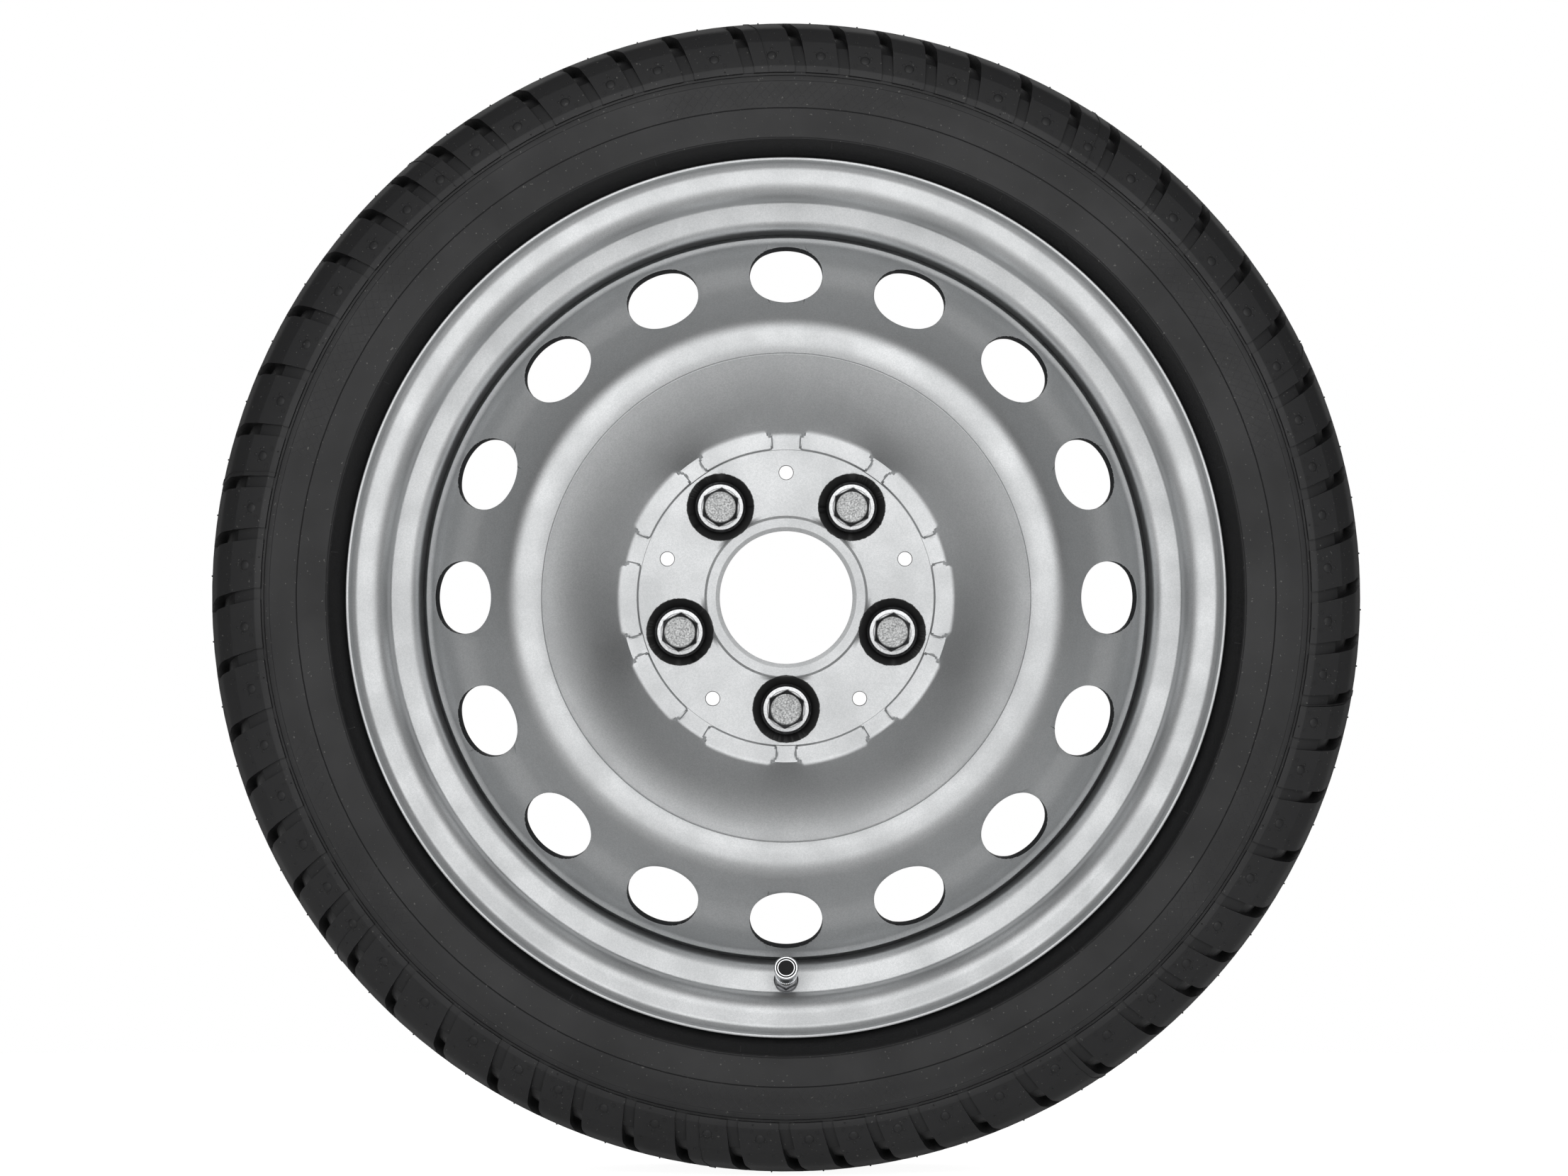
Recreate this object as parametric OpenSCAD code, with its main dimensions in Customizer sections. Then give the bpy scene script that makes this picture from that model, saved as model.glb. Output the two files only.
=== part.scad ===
// Pressed steel car wheel with its tyre, five wheel bolts and tyre valve.
// The wheel stands upright: its axis is the Y axis, the outer (street) side faces -Y,
// +Z is up and the origin is the wheel's centre, halfway between the rim flanges.

/* [Rim] */
// Width between the two flanges, where the beads sit
rim_width = 165.1; // [152:0.1:178]
// Radius of the bead seat at the heel of the bead
seat_r = 202.8; // [199:0.1:207]
// Taper of the bead seats in degrees
seat_taper = 5; // [3:0.5:7]
// Height of the flanges above the bead seats
flange_h = 17.3; // [15:0.1:19]
// How far each flange reaches out past the bead seat
flange_reach = 13; // [11.5:0.1:15]
// Radius of the flange's curl on the tyre's side
curl_r = 9.5; // [8:0.1:11]
// Radius between bead seat and flange
heel_r = 6.5; // [4:0.1:8]
// Sheet thickness of the rim
rim_t = 2.8; // [2.2:0.1:3.2]
// Distance from the flange to the crest of the safety hump
hump_in = 21.5; // [20.5:0.1:23]
// Width of the rise from the bead seat to the crest of the hump
hump_w = 6; // [5:0.1:7]
// Height of the safety hump above the bead seat
hump_h = 1.2; // [0.6:0.1:1.6]
// Lean of the outer well wall from upright, in degrees
well_lean = 17; // [12:0.5:22]
// Depth of the well below the bead seats, where the disc is pressed in
well_depth = 20.2; // [18:0.1:24]
// Draft of the well's floor, wider towards the vehicle, in degrees
well_draft = 0.3; // [0.2:0.05:0.6]
// Where the well's floor ends, measured outwards from the middle of the rim
well_end = 4; // [0:0.5:12]
// Length of the slope from the well's floor up to the inner ledge
well_slope = 16; // [12:0.5:22]
// Drop of the inner ledge below the inner bead seat
ledge_drop = 4; // [3:0.1:6]
// Radius between the well's floor and its walls
well_fillet = 6; // [4:0.1:8]

/* [Disc] */
// Distance of the mounting face from the middle of the rim
offset_z = 60; // [55:0.5:62]
// Radius of the centre bore
bore_r = 33.3; // [28:0.05:36]
// Thickness of the ring round the centre bore
hub_t = 5; // [4:0.1:6]
// Outer radius of the ring round the centre bore
hub_ring_r = 39.8; // [38:0.1:42]
// Width of the chamfer at the mouth of the centre bore
bore_chamfer = 2.1; // [1:0.1:3]
// Thickness of the bolting pad
pad_t = 6; // [5:0.1:7]
// Inner radius of the ring of raised lands
land_r = 74.2; // [73:0.1:77]
// Height of the lands above the pad
land_h = 1.8; // [1:0.1:2.5]
// Width of the gaps between lands beside the small holes
wide_gap = 13.9; // [10:0.1:16]
// Width of the gaps between lands beside the bolts
narrow_gap = 9.5; // [7:0.1:12]
// Radius where the bowl's wall leaves the lands
bowl_r = 84.2; // [82:0.1:87]
// Slope of the bowl's wall at its foot, in degrees
bowl_slope = 41; // [38:0.5:44]
// Slope of the bowl's wall at the crease below the crest
crease_slope = 20; // [18:0.5:24]
// Distance of the crease below the crest from the foot of the bowl
crease_out = 37.8; // [34:0.1:41]
// Slope of the lip that carries the crease over into the crest, in degrees
lip_slope = 16; // [12:0.5:18]
// Distance of the crest, the disc's outermost ring, from the foot of the bowl
crest_out = 46.8; // [45:0.1:50]
// Slope of the vented face beside the crest and beside the shoulder
flank_slope = 43; // [40:0.5:46]
// Slope of the vented face where the vents are punched
vent_slope = 39; // [36:0.5:42]
// Distance of the circle of vents from the foot of the bowl
vents_out = 77.8; // [76:0.1:80]
// Radius of each vent
vent_r = 18.2; // [12:0.1:20]
// Number of vents
vents = 16; // [8:1:18]
// Radius of the shoulder between the vented face and the rim
shoulder_r = 22; // [16:0.5:24]
// Where the disc's flange ends in the well, measured from the middle of the rim
disc_end = 24; // [18:0.5:30]
// Number of weld seams between the disc's flange and the well
weld_count = 8; // [4:1:10]
// Length of each weld seam, in degrees
weld_sweep = 26; // [15:1:30]
// Leg of the weld seams
weld_leg = 3.4; // [2.5:0.1:3.5]
// Sheet thickness of the bowl's wall
bowl_t = 5; // [4:0.1:6]
// Sheet thickness of the vented face
web_t = 3.6; // [3:0.1:4.5]
// Depth of the relief behind the bolts
relief_d = 0.8; // [0.3:0.1:1.5]
// Inner radius of the relief behind the bolts
relief_r1 = 45; // [42:0.5:47]
// Outer radius of the relief behind the bolts
relief_r2 = 68.5; // [68:0.5:70]
// Radius of the five small holes
pin_hole_r = 3.5; // [2:0.1:4]
// Radius of the circle of small holes
pin_circle_r = 62.7; // [61:0.1:63]

/* [Wheel bolts] */
// Radius of the bolt circle
bolt_circle_r = 56; // [54:0.1:57]
// Number of wheel bolts
bolts = 5; // [4:1:5]
// Angle of the first bolt round the wheel, in degrees
bolt_angle = -90; // [-90:1:0]
// Radius of the bolts' threaded shank
shank_r = 7; // [6:0.1:7.5]
// Length of shank below the ball
shank_l = 27; // [22:0.5:32]
// Radius of the ball seat
ball_r = 14; // [13:0.1:15]
// Radius of the bolts' collar
collar_r = 12.65; // [12:0.05:12.8]
// Thickness of the collar above the ball
collar_h = 2.5; // [2:0.1:4]
// Width across the flats of the hexagon
hex_af = 17; // [16:0.1:19]
// Height of the hexagon
hex_h = 12.5; // [9:0.1:15]
// Turn of the hexagons, in degrees
hex_turn = -4; // [-30:1:30]
// Radius of the hole below the ball seat
bolt_hole_r = 8; // [7.6:0.1:8.4]
// Outer radius of the flared mouth of the seat
seat_mouth_r = 16.6; // [14.5:0.1:18]
// Radius where the ball seat changes to its flared mouth
seat_ring_r = 10.2; // [9.2:0.1:11]
// Height of the straight hole between the relief and the ball seat
seat_land = 0.6; // [0.3:0.1:1]

/* [Tyre] */
// Outer radius at the middle of the tread
tyre_r = 290; // [286:0.5:296]
// Width over the sidewalls
tyre_w = 195; // [191:0.5:200]
// Drop of the shoulder's corner below the middle of the tread
corner_drop = 11.8; // [10:0.1:14]
// How far the shoulder's corner lies inside the sidewall's widest point
corner_in = 9.6; // [8:0.1:12]
// Drop of the groove round the upper sidewall below the middle of the tread
ring_drop = 28.4; // [26:0.1:31]
// Height of the sidewall's widest point above the flange
belly_h = 26; // [22:0.5:30]
// Radius of the crown of the tread across its width
crown_r = 1100; // [700:10:1500]
// Depth of the tread
tread_d = 7.5; // [5:0.1:9]
// Place of the two outer grooves, from the middle of the tread
outer_groove = 47; // [44:0.5:50]
// Width of the two outer grooves
outer_groove_w = 7.5; // [5:0.1:9]
// Place of the two inner grooves, from the middle of the tread
inner_groove = 17; // [14:0.5:20]
// Width of the two inner grooves
inner_groove_w = 9; // [6:0.1:11]
// Width of the grooves across the shoulder
cross_groove_w = 5; // [3.5:0.1:6]
// Slant of the grooves across the shoulder, in degrees
cross_slant = 17; // [8:1:20]
// Turn of the inner side's pattern against the street side's, in degrees
side_turn = 3; // [0:0.5:5]
// Depth of the grooves where they run down the upper sidewall
buttress_d = 1.2; // [0.5:0.1:2]
// Thickness of the tread and belts below the grooves
belt_t = 9; // [7:0.1:11]
// Thickness of the sidewall
wall_t = 9; // [7:0.1:11]
// Clearance between bead and rim, which the air pressure closes
bead_gap = 0.25; // [0.2:0.01:0.4]

/* [Valve] */
// Angle of the valve round the wheel, in degrees
valve_angle = 270; // [180:1:360]
// Place of the valve on the well's outer wall, as a share of the wall's height
valve_share = 0.4187; // [0.4:0.0001:0.46]
// Radius of the valve's hole in the rim
valve_hole_r = 4.15; // [4.05:0.05:4.4]
// Radius of the threaded stem
stem_r = 3.85; // [3.7:0.05:3.9]
// Length of the stem above the rim
stem_h = 22.6; // [20:0.1:26]
// Radius of the stem's foot inside the rim
foot_r = 5.7; // [5.2:0.1:5.9]
// Thickness of the stem's foot
foot_t = 2; // [1.5:0.1:2.5]
// Thickness of the rubber washer inside the rim
grommet_t = 2.8; // [2:0.1:3.5]
// Radius of the steel washer
washer_r = 6.5; // [6.3:0.05:6.6]
// Thickness of the steel washer
washer_t = 0.9; // [0.6:0.1:1.2]
// Radius of the nut's flange
nut_flange_r = 6.2; // [5.9:0.05:6.3]
// Thickness of the nut's flange
nut_flange_t = 1.3; // [1:0.1:1.6]
// Width across the flats of the nut
nut_af = 10; // [9.5:0.1:10.5]
// Height of the nut's hexagon
nut_h = 4.2; // [3:0.1:5]
// Largest radius of the cap
cap_r = 6.15; // [5.9:0.05:6.5]
// Height of the cap
cap_h = 12; // [10.5:0.1:13]
// Thickness of the cap's top
cap_top_t = 1.2; // [1.1:0.05:1.6]
// Number of ribs round the cap
cap_ribs = 40; // [24:1:48]
// Radius of the recess in the cap's top
inlay_r = 5; // [4.6:0.05:5.2]
// Depth of the recess in the cap's top
inlay_d = 0.5; // [0.4:0.05:0.6]
// Outer radius of the bright ring on the cap
ring_r = 4.35; // [4:0.05:4.5]
// Width of the bright ring on the cap
ring_w = 0.4; // [0.3:0.05:0.5]
// Radius of the valve core's plug
plug_r = 2.6; // [2.5:0.05:2.7]
// Radius of the valve core's barrel
barrel_r = 1.75; // [1.65:0.05:1.85]
// Radius of the valve core's pin
pin_r = 0.45; // [0.35:0.05:0.5]
// Travel of the valve core's pin
pin_travel = 1; // [0.6:0.1:1.2]

/* [Hidden] */

$fn = 96;
// Overlap that keeps cuts clear of the faces they open
cut = 1;
// Clearance of parts that are pressed or bolted together
fit = 0.03;
// Running clearance of the cap on its thread and of the core's pin
run = 0.08;
// Bevel along the cut edges of the sheet
edge = 0.5;
// Clearance of the valve's flat washer on the curved wall
washer_gap = 0.08;
// Clearance of the weld seams on the well's curved wall
weld_gap = 0.15;

half_w = rim_width / 2;
flange_r = seat_r + flange_h;
well_r = seat_r - well_depth;
// Width of the disc's web, and height of the tyre's sidewall, that their forms were measured on
measured_web = 98.4;
measured_wall = 69.9;
// The same sizes here, as a share of the measured ones
web_k = (well_r - bowl_r) / measured_web;
wall_k = (tyre_r - flange_r) / measured_wall;

// Colours
paint = "#b9bbbd";
zinc = "#8d8f90";
black_rubber = "#232324";
brass = "#b89a58";
chrome = "#d5d8db";

// Geometry helpers: an outline is a list of corners [x, y, radius, thickness]

function unit(v) = v / norm(v);
function xy(p) = [p[0], p[1]];
function turned(v, a) = [v[0] * cos(a) - v[1] * sin(a), v[0] * sin(a) + v[1] * cos(a)];
function reversed(list) = [for (i = [len(list) - 1:-1:0]) list[i]];
// The point at x on the line through p that falls by the slope
function on_slope(p, slope, x) = [x, p[1] - (x - p[0]) * tan(slope)];

// The arc that rounds corner b between a and c
function corner_arc(a, b, c, radius) =
    let (u = unit(a - b), v = unit(c - b),
         half = acos(u * v) / 2,
         centre = b + unit(u + v) * radius / sin(half),
         first = b + u * radius / tan(half) - centre,
         sweep = (180 - 2 * half) * sign(cross(b - a, c - b)),
         steps = max(3, ceil(abs(sweep) / 8)))
    [for (k = [0:steps]) centre + turned(first, sweep * k / steps)];

// An outline's points, with its corners rounded
function rounded(path) =
    [for (i = [0:len(path) - 1])
        each i == 0 || i == len(path) - 1 || path[i][2] == 0
            ? [xy(path[i])]
            : corner_arc(xy(path[i - 1]), xy(path[i]), xy(path[i + 1]), path[i][2])];

// The step from b to the point at distance 1 to the right of both sides a-b and b-c
function mitre(a, b, c) =
    let (u = a == b ? unit(c - b) : unit(b - a),
         v = c == b ? unit(b - a) : unit(c - b),
         n = [u[1], -u[0]],
         m = [v[1], -v[0]])
    (n + m) / (1 + n * m);

// The points at distance t to the right of a line of points
function beside(points, t) =
    let (last = len(points) - 1)
    [for (i = [0:last])
        points[i] + t * mitre(points[max(i - 1, 0)], points[i], points[min(i + 1, last)])];

// The far side of a sheet whose near side is path, each corner with its own thickness
function far_side(path) =
    let (last = len(path) - 1)
    [for (i = [0:last])
        let (a = xy(path[max(i - 1, 0)]), b = xy(path[i]), c = xy(path[min(i + 1, last)]),
             bend = i == 0 || i == last ? 0 : sign(cross(b - a, c - b)),
             radius = path[i][2] == 0 ? 0 : path[i][2] + bend * path[i][3])
        concat(b + path[i][3] * mitre(a, b, c), [radius])];

// A sheet of even thickness with bevelled edges
function sheet(points, t) =
    let (far = beside(points, t), last = len(points) - 1)
    concat(bevelled(points[0], far[0], points[1]),
        [for (i = [1:last - 1]) points[i]],
        bevelled(far[last], points[last], far[last - 1]),
        [for (i = [last - 1:-1:1]) far[i]]);

// The end of a sheet between its corners p and q, with both edges bevelled towards next
function bevelled(p, q, next) =
    let (across = unit(q - p),
         side = turned(across, -90),
         inward = side * sign(side * (next - p)))
    [q + inward * edge, q - across * edge, p + across * edge, p + inward * edge];

// Turns the wheel's own axis, drawn along +Z towards the street side, to -Y
module on_axle() {
    rotate([90, 0, 0]) children();
}

module around(count, first = 0) {
    for (i = [0:count - 1])
        rotate([0, 0, first + i * 360 / count]) children();
}

// Rim

function seat_line(depth) = seat_r - depth * tan(seat_taper);

// The tyre side of one flange, bead seat and hump: [distance in from the flange, radius, fillet]
flank = [
    [-flange_reach, flange_r - 0.5, 0],
    [0, flange_r, curl_r],
    [0, seat_r, heel_r],
    [hump_in - hump_w, seat_line(hump_in - hump_w), 6],
    [hump_in, seat_line(hump_in) + hump_h, rim_t + 1.4]];

// Top of the well's outer wall, which is the outer hump
wall_top = [seat_line(hump_in) + hump_h, half_w - hump_in];
function wall_z(r) = wall_top[1] - (wall_top[0] - r) * tan(well_lean);
floor_r = well_r + rim_t;
valve_at_r = floor_r + valve_share * (wall_top[0] - floor_r);
floor_top = wall_z(floor_r);
ledge_r = seat_line(hump_in) - ledge_drop;
// Inner radius of the well's floor at a distance from the middle of the rim
function well_wall(z) = well_r + (floor_top - z) * tan(well_draft);

rim_path = concat(
    [for (p = flank) [p[1], half_w - p[0], p[2]]],
    [[floor_r, floor_top, well_fillet],
     [well_wall(well_end) + rim_t, well_end, 12],
     [ledge_r, well_end - well_slope, 12],
     [seat_line(hump_in + 4), -half_w + hump_in + 4, 4]],
    reversed([for (p = flank) [p[1], p[0] - half_w, p[2]]]));

module rim() {
    color(paint) on_axle() difference() {
        rotate_extrude() polygon(sheet(rounded(rim_path), rim_t));
        at_valve() translate([0, 0, -2 * rim_t]) cylinder(r = valve_hole_r, h = 3 * rim_t);
    }
}

// Wheel disc

pad_z = offset_z + pad_t;
land_z = pad_z + land_h;

// The bowl's wall bends evenly from its foot's slope to the crease's slope
bend_w = 14.4 * web_k;
lip_w = 4 * web_k;
crest_w = 6.3 * web_k;
vent_band_in = 11 * web_k;
vent_band_out = 8 * web_k;
crease_r = bowl_r + crease_out * web_k;
crest_r = bowl_r + crest_out * web_k;
vent_circle_r = bowl_r + vents_out * web_k;
// Radii of the soft bends at the bowl, the crest and the vents
bowl_bend_r = 80 * web_k;
lip_bend_r = 20 * web_k;
crest_bend_r = 16 * web_k;
vent_bend_r = 100 * web_k;
bowl_bend = on_slope([bowl_r, land_z], -bowl_slope, crease_r - bend_w);
crease = on_slope(bowl_bend, -crease_slope, crease_r);
crest_lip = on_slope(crease, -lip_slope, crease_r + lip_w);
crest_end = [crest_r + crest_w, crest_lip[1]];
vent_in = on_slope(crest_end, flank_slope, vent_circle_r - vent_band_in);
vent_mid = on_slope(vent_in, vent_slope, vent_circle_r);
vent_out = on_slope(vent_in, vent_slope, vent_circle_r + vent_band_out);
// Where the sloping face meets the line of the flange
flange_foot_r = (well_wall(vent_out[1]) - fit - vent_out[0] * tan(flank_slope) * tan(well_draft))
    / (1 - tan(flank_slope) * tan(well_draft));
shoulder = on_slope(vent_out, flank_slope, flange_foot_r);

// The street side of the disc from the foot of the bowl to its flange, with the sheet's thickness
web_path = [
    [bowl_r, land_z, 4, bowl_t],
    [bowl_bend[0], bowl_bend[1], bowl_bend_r, bowl_t],
    [crease[0], crease[1], 0, bowl_t - 0.3],
    [crest_lip[0], crest_lip[1], lip_bend_r, bowl_t - 0.5],
    [crest_end[0], crest_end[1], crest_bend_r, web_t + 0.4],
    [vent_in[0], vent_in[1], vent_bend_r, web_t],
    [vent_out[0], vent_out[1], vent_bend_r, web_t],
    [shoulder[0], shoulder[1], shoulder_r * web_k, web_t],
    [well_wall(disc_end) - fit, disc_end, 0, web_t]];
web_back = far_side(web_path);

// The back of the bowl's foot, where the mounting face ends
back_foot = [bowl_r - (land_z - offset_z) / tan(bowl_slope) + bowl_t / sin(bowl_slope), offset_z];

disc_front = concat(
    [[bore_r, offset_z + hub_t - bore_chamfer * 0.4, 0],
     [bore_r + bore_chamfer, offset_z + hub_t, 0],
     [hub_ring_r, offset_z + hub_t, 0],
     [hub_ring_r + pad_t - hub_t + 0.2, pad_z, 0],
     [land_r, pad_z, 0],
     [land_r + 0.5, land_z - 0.3, 0],
     [land_r + 0.9, land_z, 0]],
    web_path);
disc_back = concat(
    [[bore_r, offset_z, 0],
     [relief_r1, offset_z, 0],
     [relief_r1 + relief_d, offset_z + relief_d, 0],
     [relief_r2 - relief_d, offset_z + relief_d, 0],
     [relief_r2, offset_z, 0],
     [back_foot[0], back_foot[1], bowl_t + 4]],
    [for (i = [1:len(web_back) - 1]) web_back[i]]);

module wheel_disc() {
    color(paint) on_axle() difference() {
        rotate_extrude() polygon(concat(rounded(disc_front), reversed(rounded(disc_back))));
        around(vents) vent();
        around(bolts, bolt_angle) translate([bolt_circle_r, 0, 0]) bolt_seat();
        around(bolts, bolt_angle) land_gap(narrow_gap, 0.5);
        around(bolts, bolt_angle + 180 / bolts) land_gap(wide_gap, 0.15);
        around(bolts, bolt_angle + 180 / bolts) translate([pin_circle_r, 0, offset_z - cut])
            cylinder(r = pin_hole_r, h = pad_t + 2 * cut);
    }
}

// One vent, punched square to the sloping face
module vent() {
    translate([vent_circle_r, 0, vent_mid[1]]) rotate([0, vent_slope, 0])
        cylinder(r = vent_r * web_k, h = 6 * web_t, center = true);
}

// A gap between two lands, its floor a little above the pad
module land_gap(width, floor_h) {
    start_r = land_r - 2;
    end_r = bowl_r - 1;
    translate([0, 0, pad_z + floor_h]) linear_extrude(land_h + 3) polygon(rounded([
        [start_r, 0, 0], [start_r, -width / 2, 0], [end_r, -width / 2, 3],
        [end_r, width / 2, 3], [start_r, width / 2, 0], [start_r, 0, 0]]));
}

// The ball of a bolt and its seat, between two radii: [radius, height]
ball_z = offset_z + relief_d + seat_land + sqrt(pow(ball_r, 2) - pow(bolt_hole_r, 2));
function ball_arc(radius, r1, r2) =
    let (a1 = asin(r1 / radius), a2 = asin(r2 / radius), steps = 6)
    [for (k = [0:steps])
        let (a = a1 + (a2 - a1) * k / steps) [radius * sin(a), ball_z - radius * cos(a)]];

// Ball seat with its flared mouth, on the bolt's own axis
module bolt_seat() {
    ring_z = ball_z - sqrt(pow(ball_r, 2) - pow(seat_ring_r, 2));
    flare = (seat_mouth_r - seat_ring_r) / (pad_z - ring_z);
    rotate_extrude() polygon(concat(
        [[0, offset_z - cut], [bolt_hole_r, offset_z - cut]],
        ball_arc(ball_r, bolt_hole_r, seat_ring_r),
        [[seat_mouth_r + flare * cut, pad_z + cut], [0, pad_z + cut]]));
}

// Weld seams between the disc's flange and the well

weld_r = well_wall(disc_end) - weld_gap;

module weld_seams() {
    color(zinc) on_axle() around(weld_count, -weld_sweep / 2)
        rotate_extrude(angle = weld_sweep) polygon([
            [weld_r, disc_end - fit],
            [weld_r - weld_leg, disc_end - fit],
            [weld_r - weld_leg * 0.55, disc_end - weld_leg * 0.62],
            [weld_r, disc_end - weld_leg]]);
}

// Wheel bolts

collar_z = ball_z - sqrt(pow(ball_r, 2) - pow(collar_r, 2)) + collar_h;
shank_tip = ball_z - sqrt(pow(ball_r, 2) - pow(shank_r, 2)) - shank_l;

module wheel_bolt(i) {
    angle = bolt_angle + i * 360 / bolts;
    color(zinc) on_axle() rotate([0, 0, angle]) translate([bolt_circle_r, 0, 0]) {
        rotate_extrude() polygon(concat(
            [[0, shank_tip], [shank_r - 1.5, shank_tip], [shank_r, shank_tip + 1.5]],
            ball_arc(ball_r - fit, shank_r, collar_r),
            [[collar_r, collar_z - 1], [collar_r - 1.3, collar_z], [0, collar_z]]));
        intersection() {
            translate([0, 0, collar_z - cut]) rotate([0, 0, hex_turn + 90 - angle])
                cylinder(r = hex_af / 2 / cos(30), h = hex_h + cut, $fn = 6);
            rotate_extrude() polygon([
                [0, collar_z - cut],
                [hex_af * 0.6, collar_z - cut],
                [hex_af * 0.6, collar_z + hex_h - 1.4],
                [hex_af * 0.456, collar_z + hex_h - 0.3],
                [hex_af * 0.35, collar_z + hex_h],
                [0, collar_z + hex_h]]);
        }
    }
}

// Tyre

belly_z = tyre_w / 2;
belly_r = flange_r + belly_h * wall_k;
corner = [tyre_r - corner_drop * wall_k, belly_z - corner_in];
ring_groove_r = tyre_r - ring_drop * wall_k;
groove_d = tread_d * wall_k;
function crown(z) = tyre_r - z * z / (2 * crown_r);

// The four points of a groove round the tread
function groove_points(z, w) = [
    [crown(z - w / 2), z - w / 2, 0],
    [crown(z) - groove_d, z - w / 2 + 0.8, 0],
    [crown(z) - groove_d, z + w / 2 - 0.8, 0],
    [crown(z + w / 2), z + w / 2, 0]];

// Centre of the flange's curl, which the bead follows
curl = [flange_r - curl_r, half_w + curl_r];
bead_line = half_w - bead_gap;
bead_w = hump_in - hump_w - bead_gap;
toe_z = half_w - bead_w;

// Street half of the tyre's outside, from the middle of the tread to the toe of the bead
tyre_outside = concat(
    [[tyre_r, 0, 0]],
    groove_points(inner_groove, inner_groove_w),
    groove_points(outer_groove, outer_groove_w),
    [[crown(66), 66, 0],
     [crown(66) - 3.2 * wall_k, corner[1] - 7, 10 * wall_k],
     [corner[0], corner[1], 2.5],
     [ring_groove_r + 0.9, belly_z - 2.2, 0],
     [ring_groove_r + 0.4, belly_z - 3.1, 0],
     [ring_groove_r - 0.4, belly_z - 3, 0],
     [ring_groove_r - 0.9, belly_z - 1.9, 0],
     [belly_r, belly_z + 0.3, 40 * wall_k],
     [flange_r + 10 * wall_k, belly_z - 1.7, 0],
     [flange_r + 9.3 * wall_k, belly_z - 1, 0],
     [flange_r + 8.6 * wall_k, belly_z - 2.1, 0],
     [flange_r + 1.2, half_w + curl_r - 2.2, 2]],
    [for (a = [62:-15.5:0]) concat(curl + (curl_r + bead_gap) * [sin(a), -cos(a)], [0])],
    [[seat_r + bead_gap, bead_line, heel_r - bead_gap],
     [seat_line(bead_w) + bead_gap, toe_z, 0]]);

// Street half of the tyre's inside, from the toe to below the middle of the tread
inner_r = tyre_r - (tread_d + belt_t) * wall_k;
tyre_inside = [
    [seat_r + 2, toe_z - 0.4, 2],
    [flange_r - 4, toe_z + 1.5, 12 * wall_k],
    [belly_r - 8 * wall_k, belly_z - wall_t - 1.5, 16 * wall_k],
    [belly_r + 10 * wall_k, belly_z - wall_t, 22 * wall_k],
    [inner_r - 1.5 * wall_k, belly_z - wall_t - 10, 12 * wall_k],
    [inner_r, 0, 0]];

function mirrored(path) = [for (p = path) [p[0], -p[1], p[2]]];
tyre_half = concat(tyre_outside, tyre_inside);

// Lengths of the tread's pitches round the tyre: short, middle and long, mixed against noise
pitch_order = "MMSMLLLMLSMMSSSSMLMSMMSSSMLLLMMLLLMMMSSMLLSSMMMMSSSMLLLMSMLLMSMM";
function pitch(letter) = letter == "S" ? 4.72 : letter == "M" ? 5.63 : 6.55;
function pitch_sum(n) = n == 0 ? 0 : pitch_sum(n - 1) + pitch(pitch_order[n - 1]);
function pitch_angle(n) = 360 * pitch_sum(n) / pitch_sum(len(pitch_order));

module tyre() {
    color(black_rubber) on_axle() difference() {
        rotate_extrude() polygon(concat(
            rounded(tyre_half),
            [for (p = reversed(rounded(mirrored(tyre_half)))) if (p[1] < 0) p]));
        for (i = [0:len(pitch_order) - 1])
            rotate([0, 0, pitch_angle(i)]) cross_groove();
        mirror([0, 0, 1]) for (i = [0:len(pitch_order) - 1])
            rotate([0, 0, pitch_angle(i) + side_turn]) cross_groove();
    }
}

// A groove across the shoulder that thins out down the upper sidewall
module cross_groove() {
    start_z = outer_groove;
    floor_r = crown(start_z) - groove_d + 1;
    far_r = tyre_r + 5;
    far_z = belly_z + 2;
    side_z = belly_z - 2.2;
    translate([0, 0, side_z]) rotate([cross_slant, 0, 0]) translate([0, cross_groove_w / 2, -side_z])
        rotate([90, 0, 0]) linear_extrude(cross_groove_w) polygon([
            [far_r, start_z],
            [floor_r, start_z],
            [floor_r - 1.6 * wall_k, corner[1] - 14],
            [corner[0] - 3 * wall_k, corner[1] - 3],
            [corner[0] - 2 * wall_k, corner[1] - 0.2 - buttress_d],
            [ring_groove_r + 1.4, side_z - 0.2 - buttress_d],
            [ring_groove_r + 1.4, far_z],
            [far_r, far_z]]);
}

// Tyre valve: its own axis stands square on the well's outer wall

module at_valve() {
    rotate([0, 0, valve_angle])
        translate([valve_at_r, 0, wall_z(valve_at_r) + rim_t / cos(well_lean)])
            rotate([0, -well_lean, 0]) children();
}

// A turned part of the valve, from its outline in radius and height
module valve_turned(points) {
    on_axle() at_valve() rotate_extrude() polygon(points);
}

foot_z = -rim_t - grommet_t - 2 * fit;
chamber_z = 7;
chamber_r = plug_r - 0.25;
plug_h = 3.7;
plug_z = stem_h - 1 - plug_h;
nut_z = washer_gap + washer_t + fit;
cap_z = stem_h + 2 - cap_h;

module valve_stem() {
    color(brass) valve_turned([
        [1.5, foot_z - foot_t], [foot_r - 0.6, foot_z - foot_t], [foot_r, foot_z - foot_t + 0.6],
        [foot_r, foot_z], [stem_r, foot_z], [stem_r, stem_h - 0.6], [stem_r - 0.6, stem_h],
        [plug_r + fit, stem_h], [plug_r + fit, plug_z - 0.6], [chamber_r, plug_z - 0.9],
        [chamber_r, chamber_z], [1.5, chamber_z - 0.8]]);
}

// Rubber washer between the stem's foot and the rim, bevelled to clear the well's fillet
module valve_grommet() {
    color(black_rubber) valve_turned([
        [stem_r + fit, foot_z + fit], [foot_r, foot_z + fit], [foot_r, -rim_t - fit - 0.9],
        [valve_hole_r + 0.15, -rim_t - fit], [stem_r + fit, -rim_t - fit]]);
}

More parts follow.
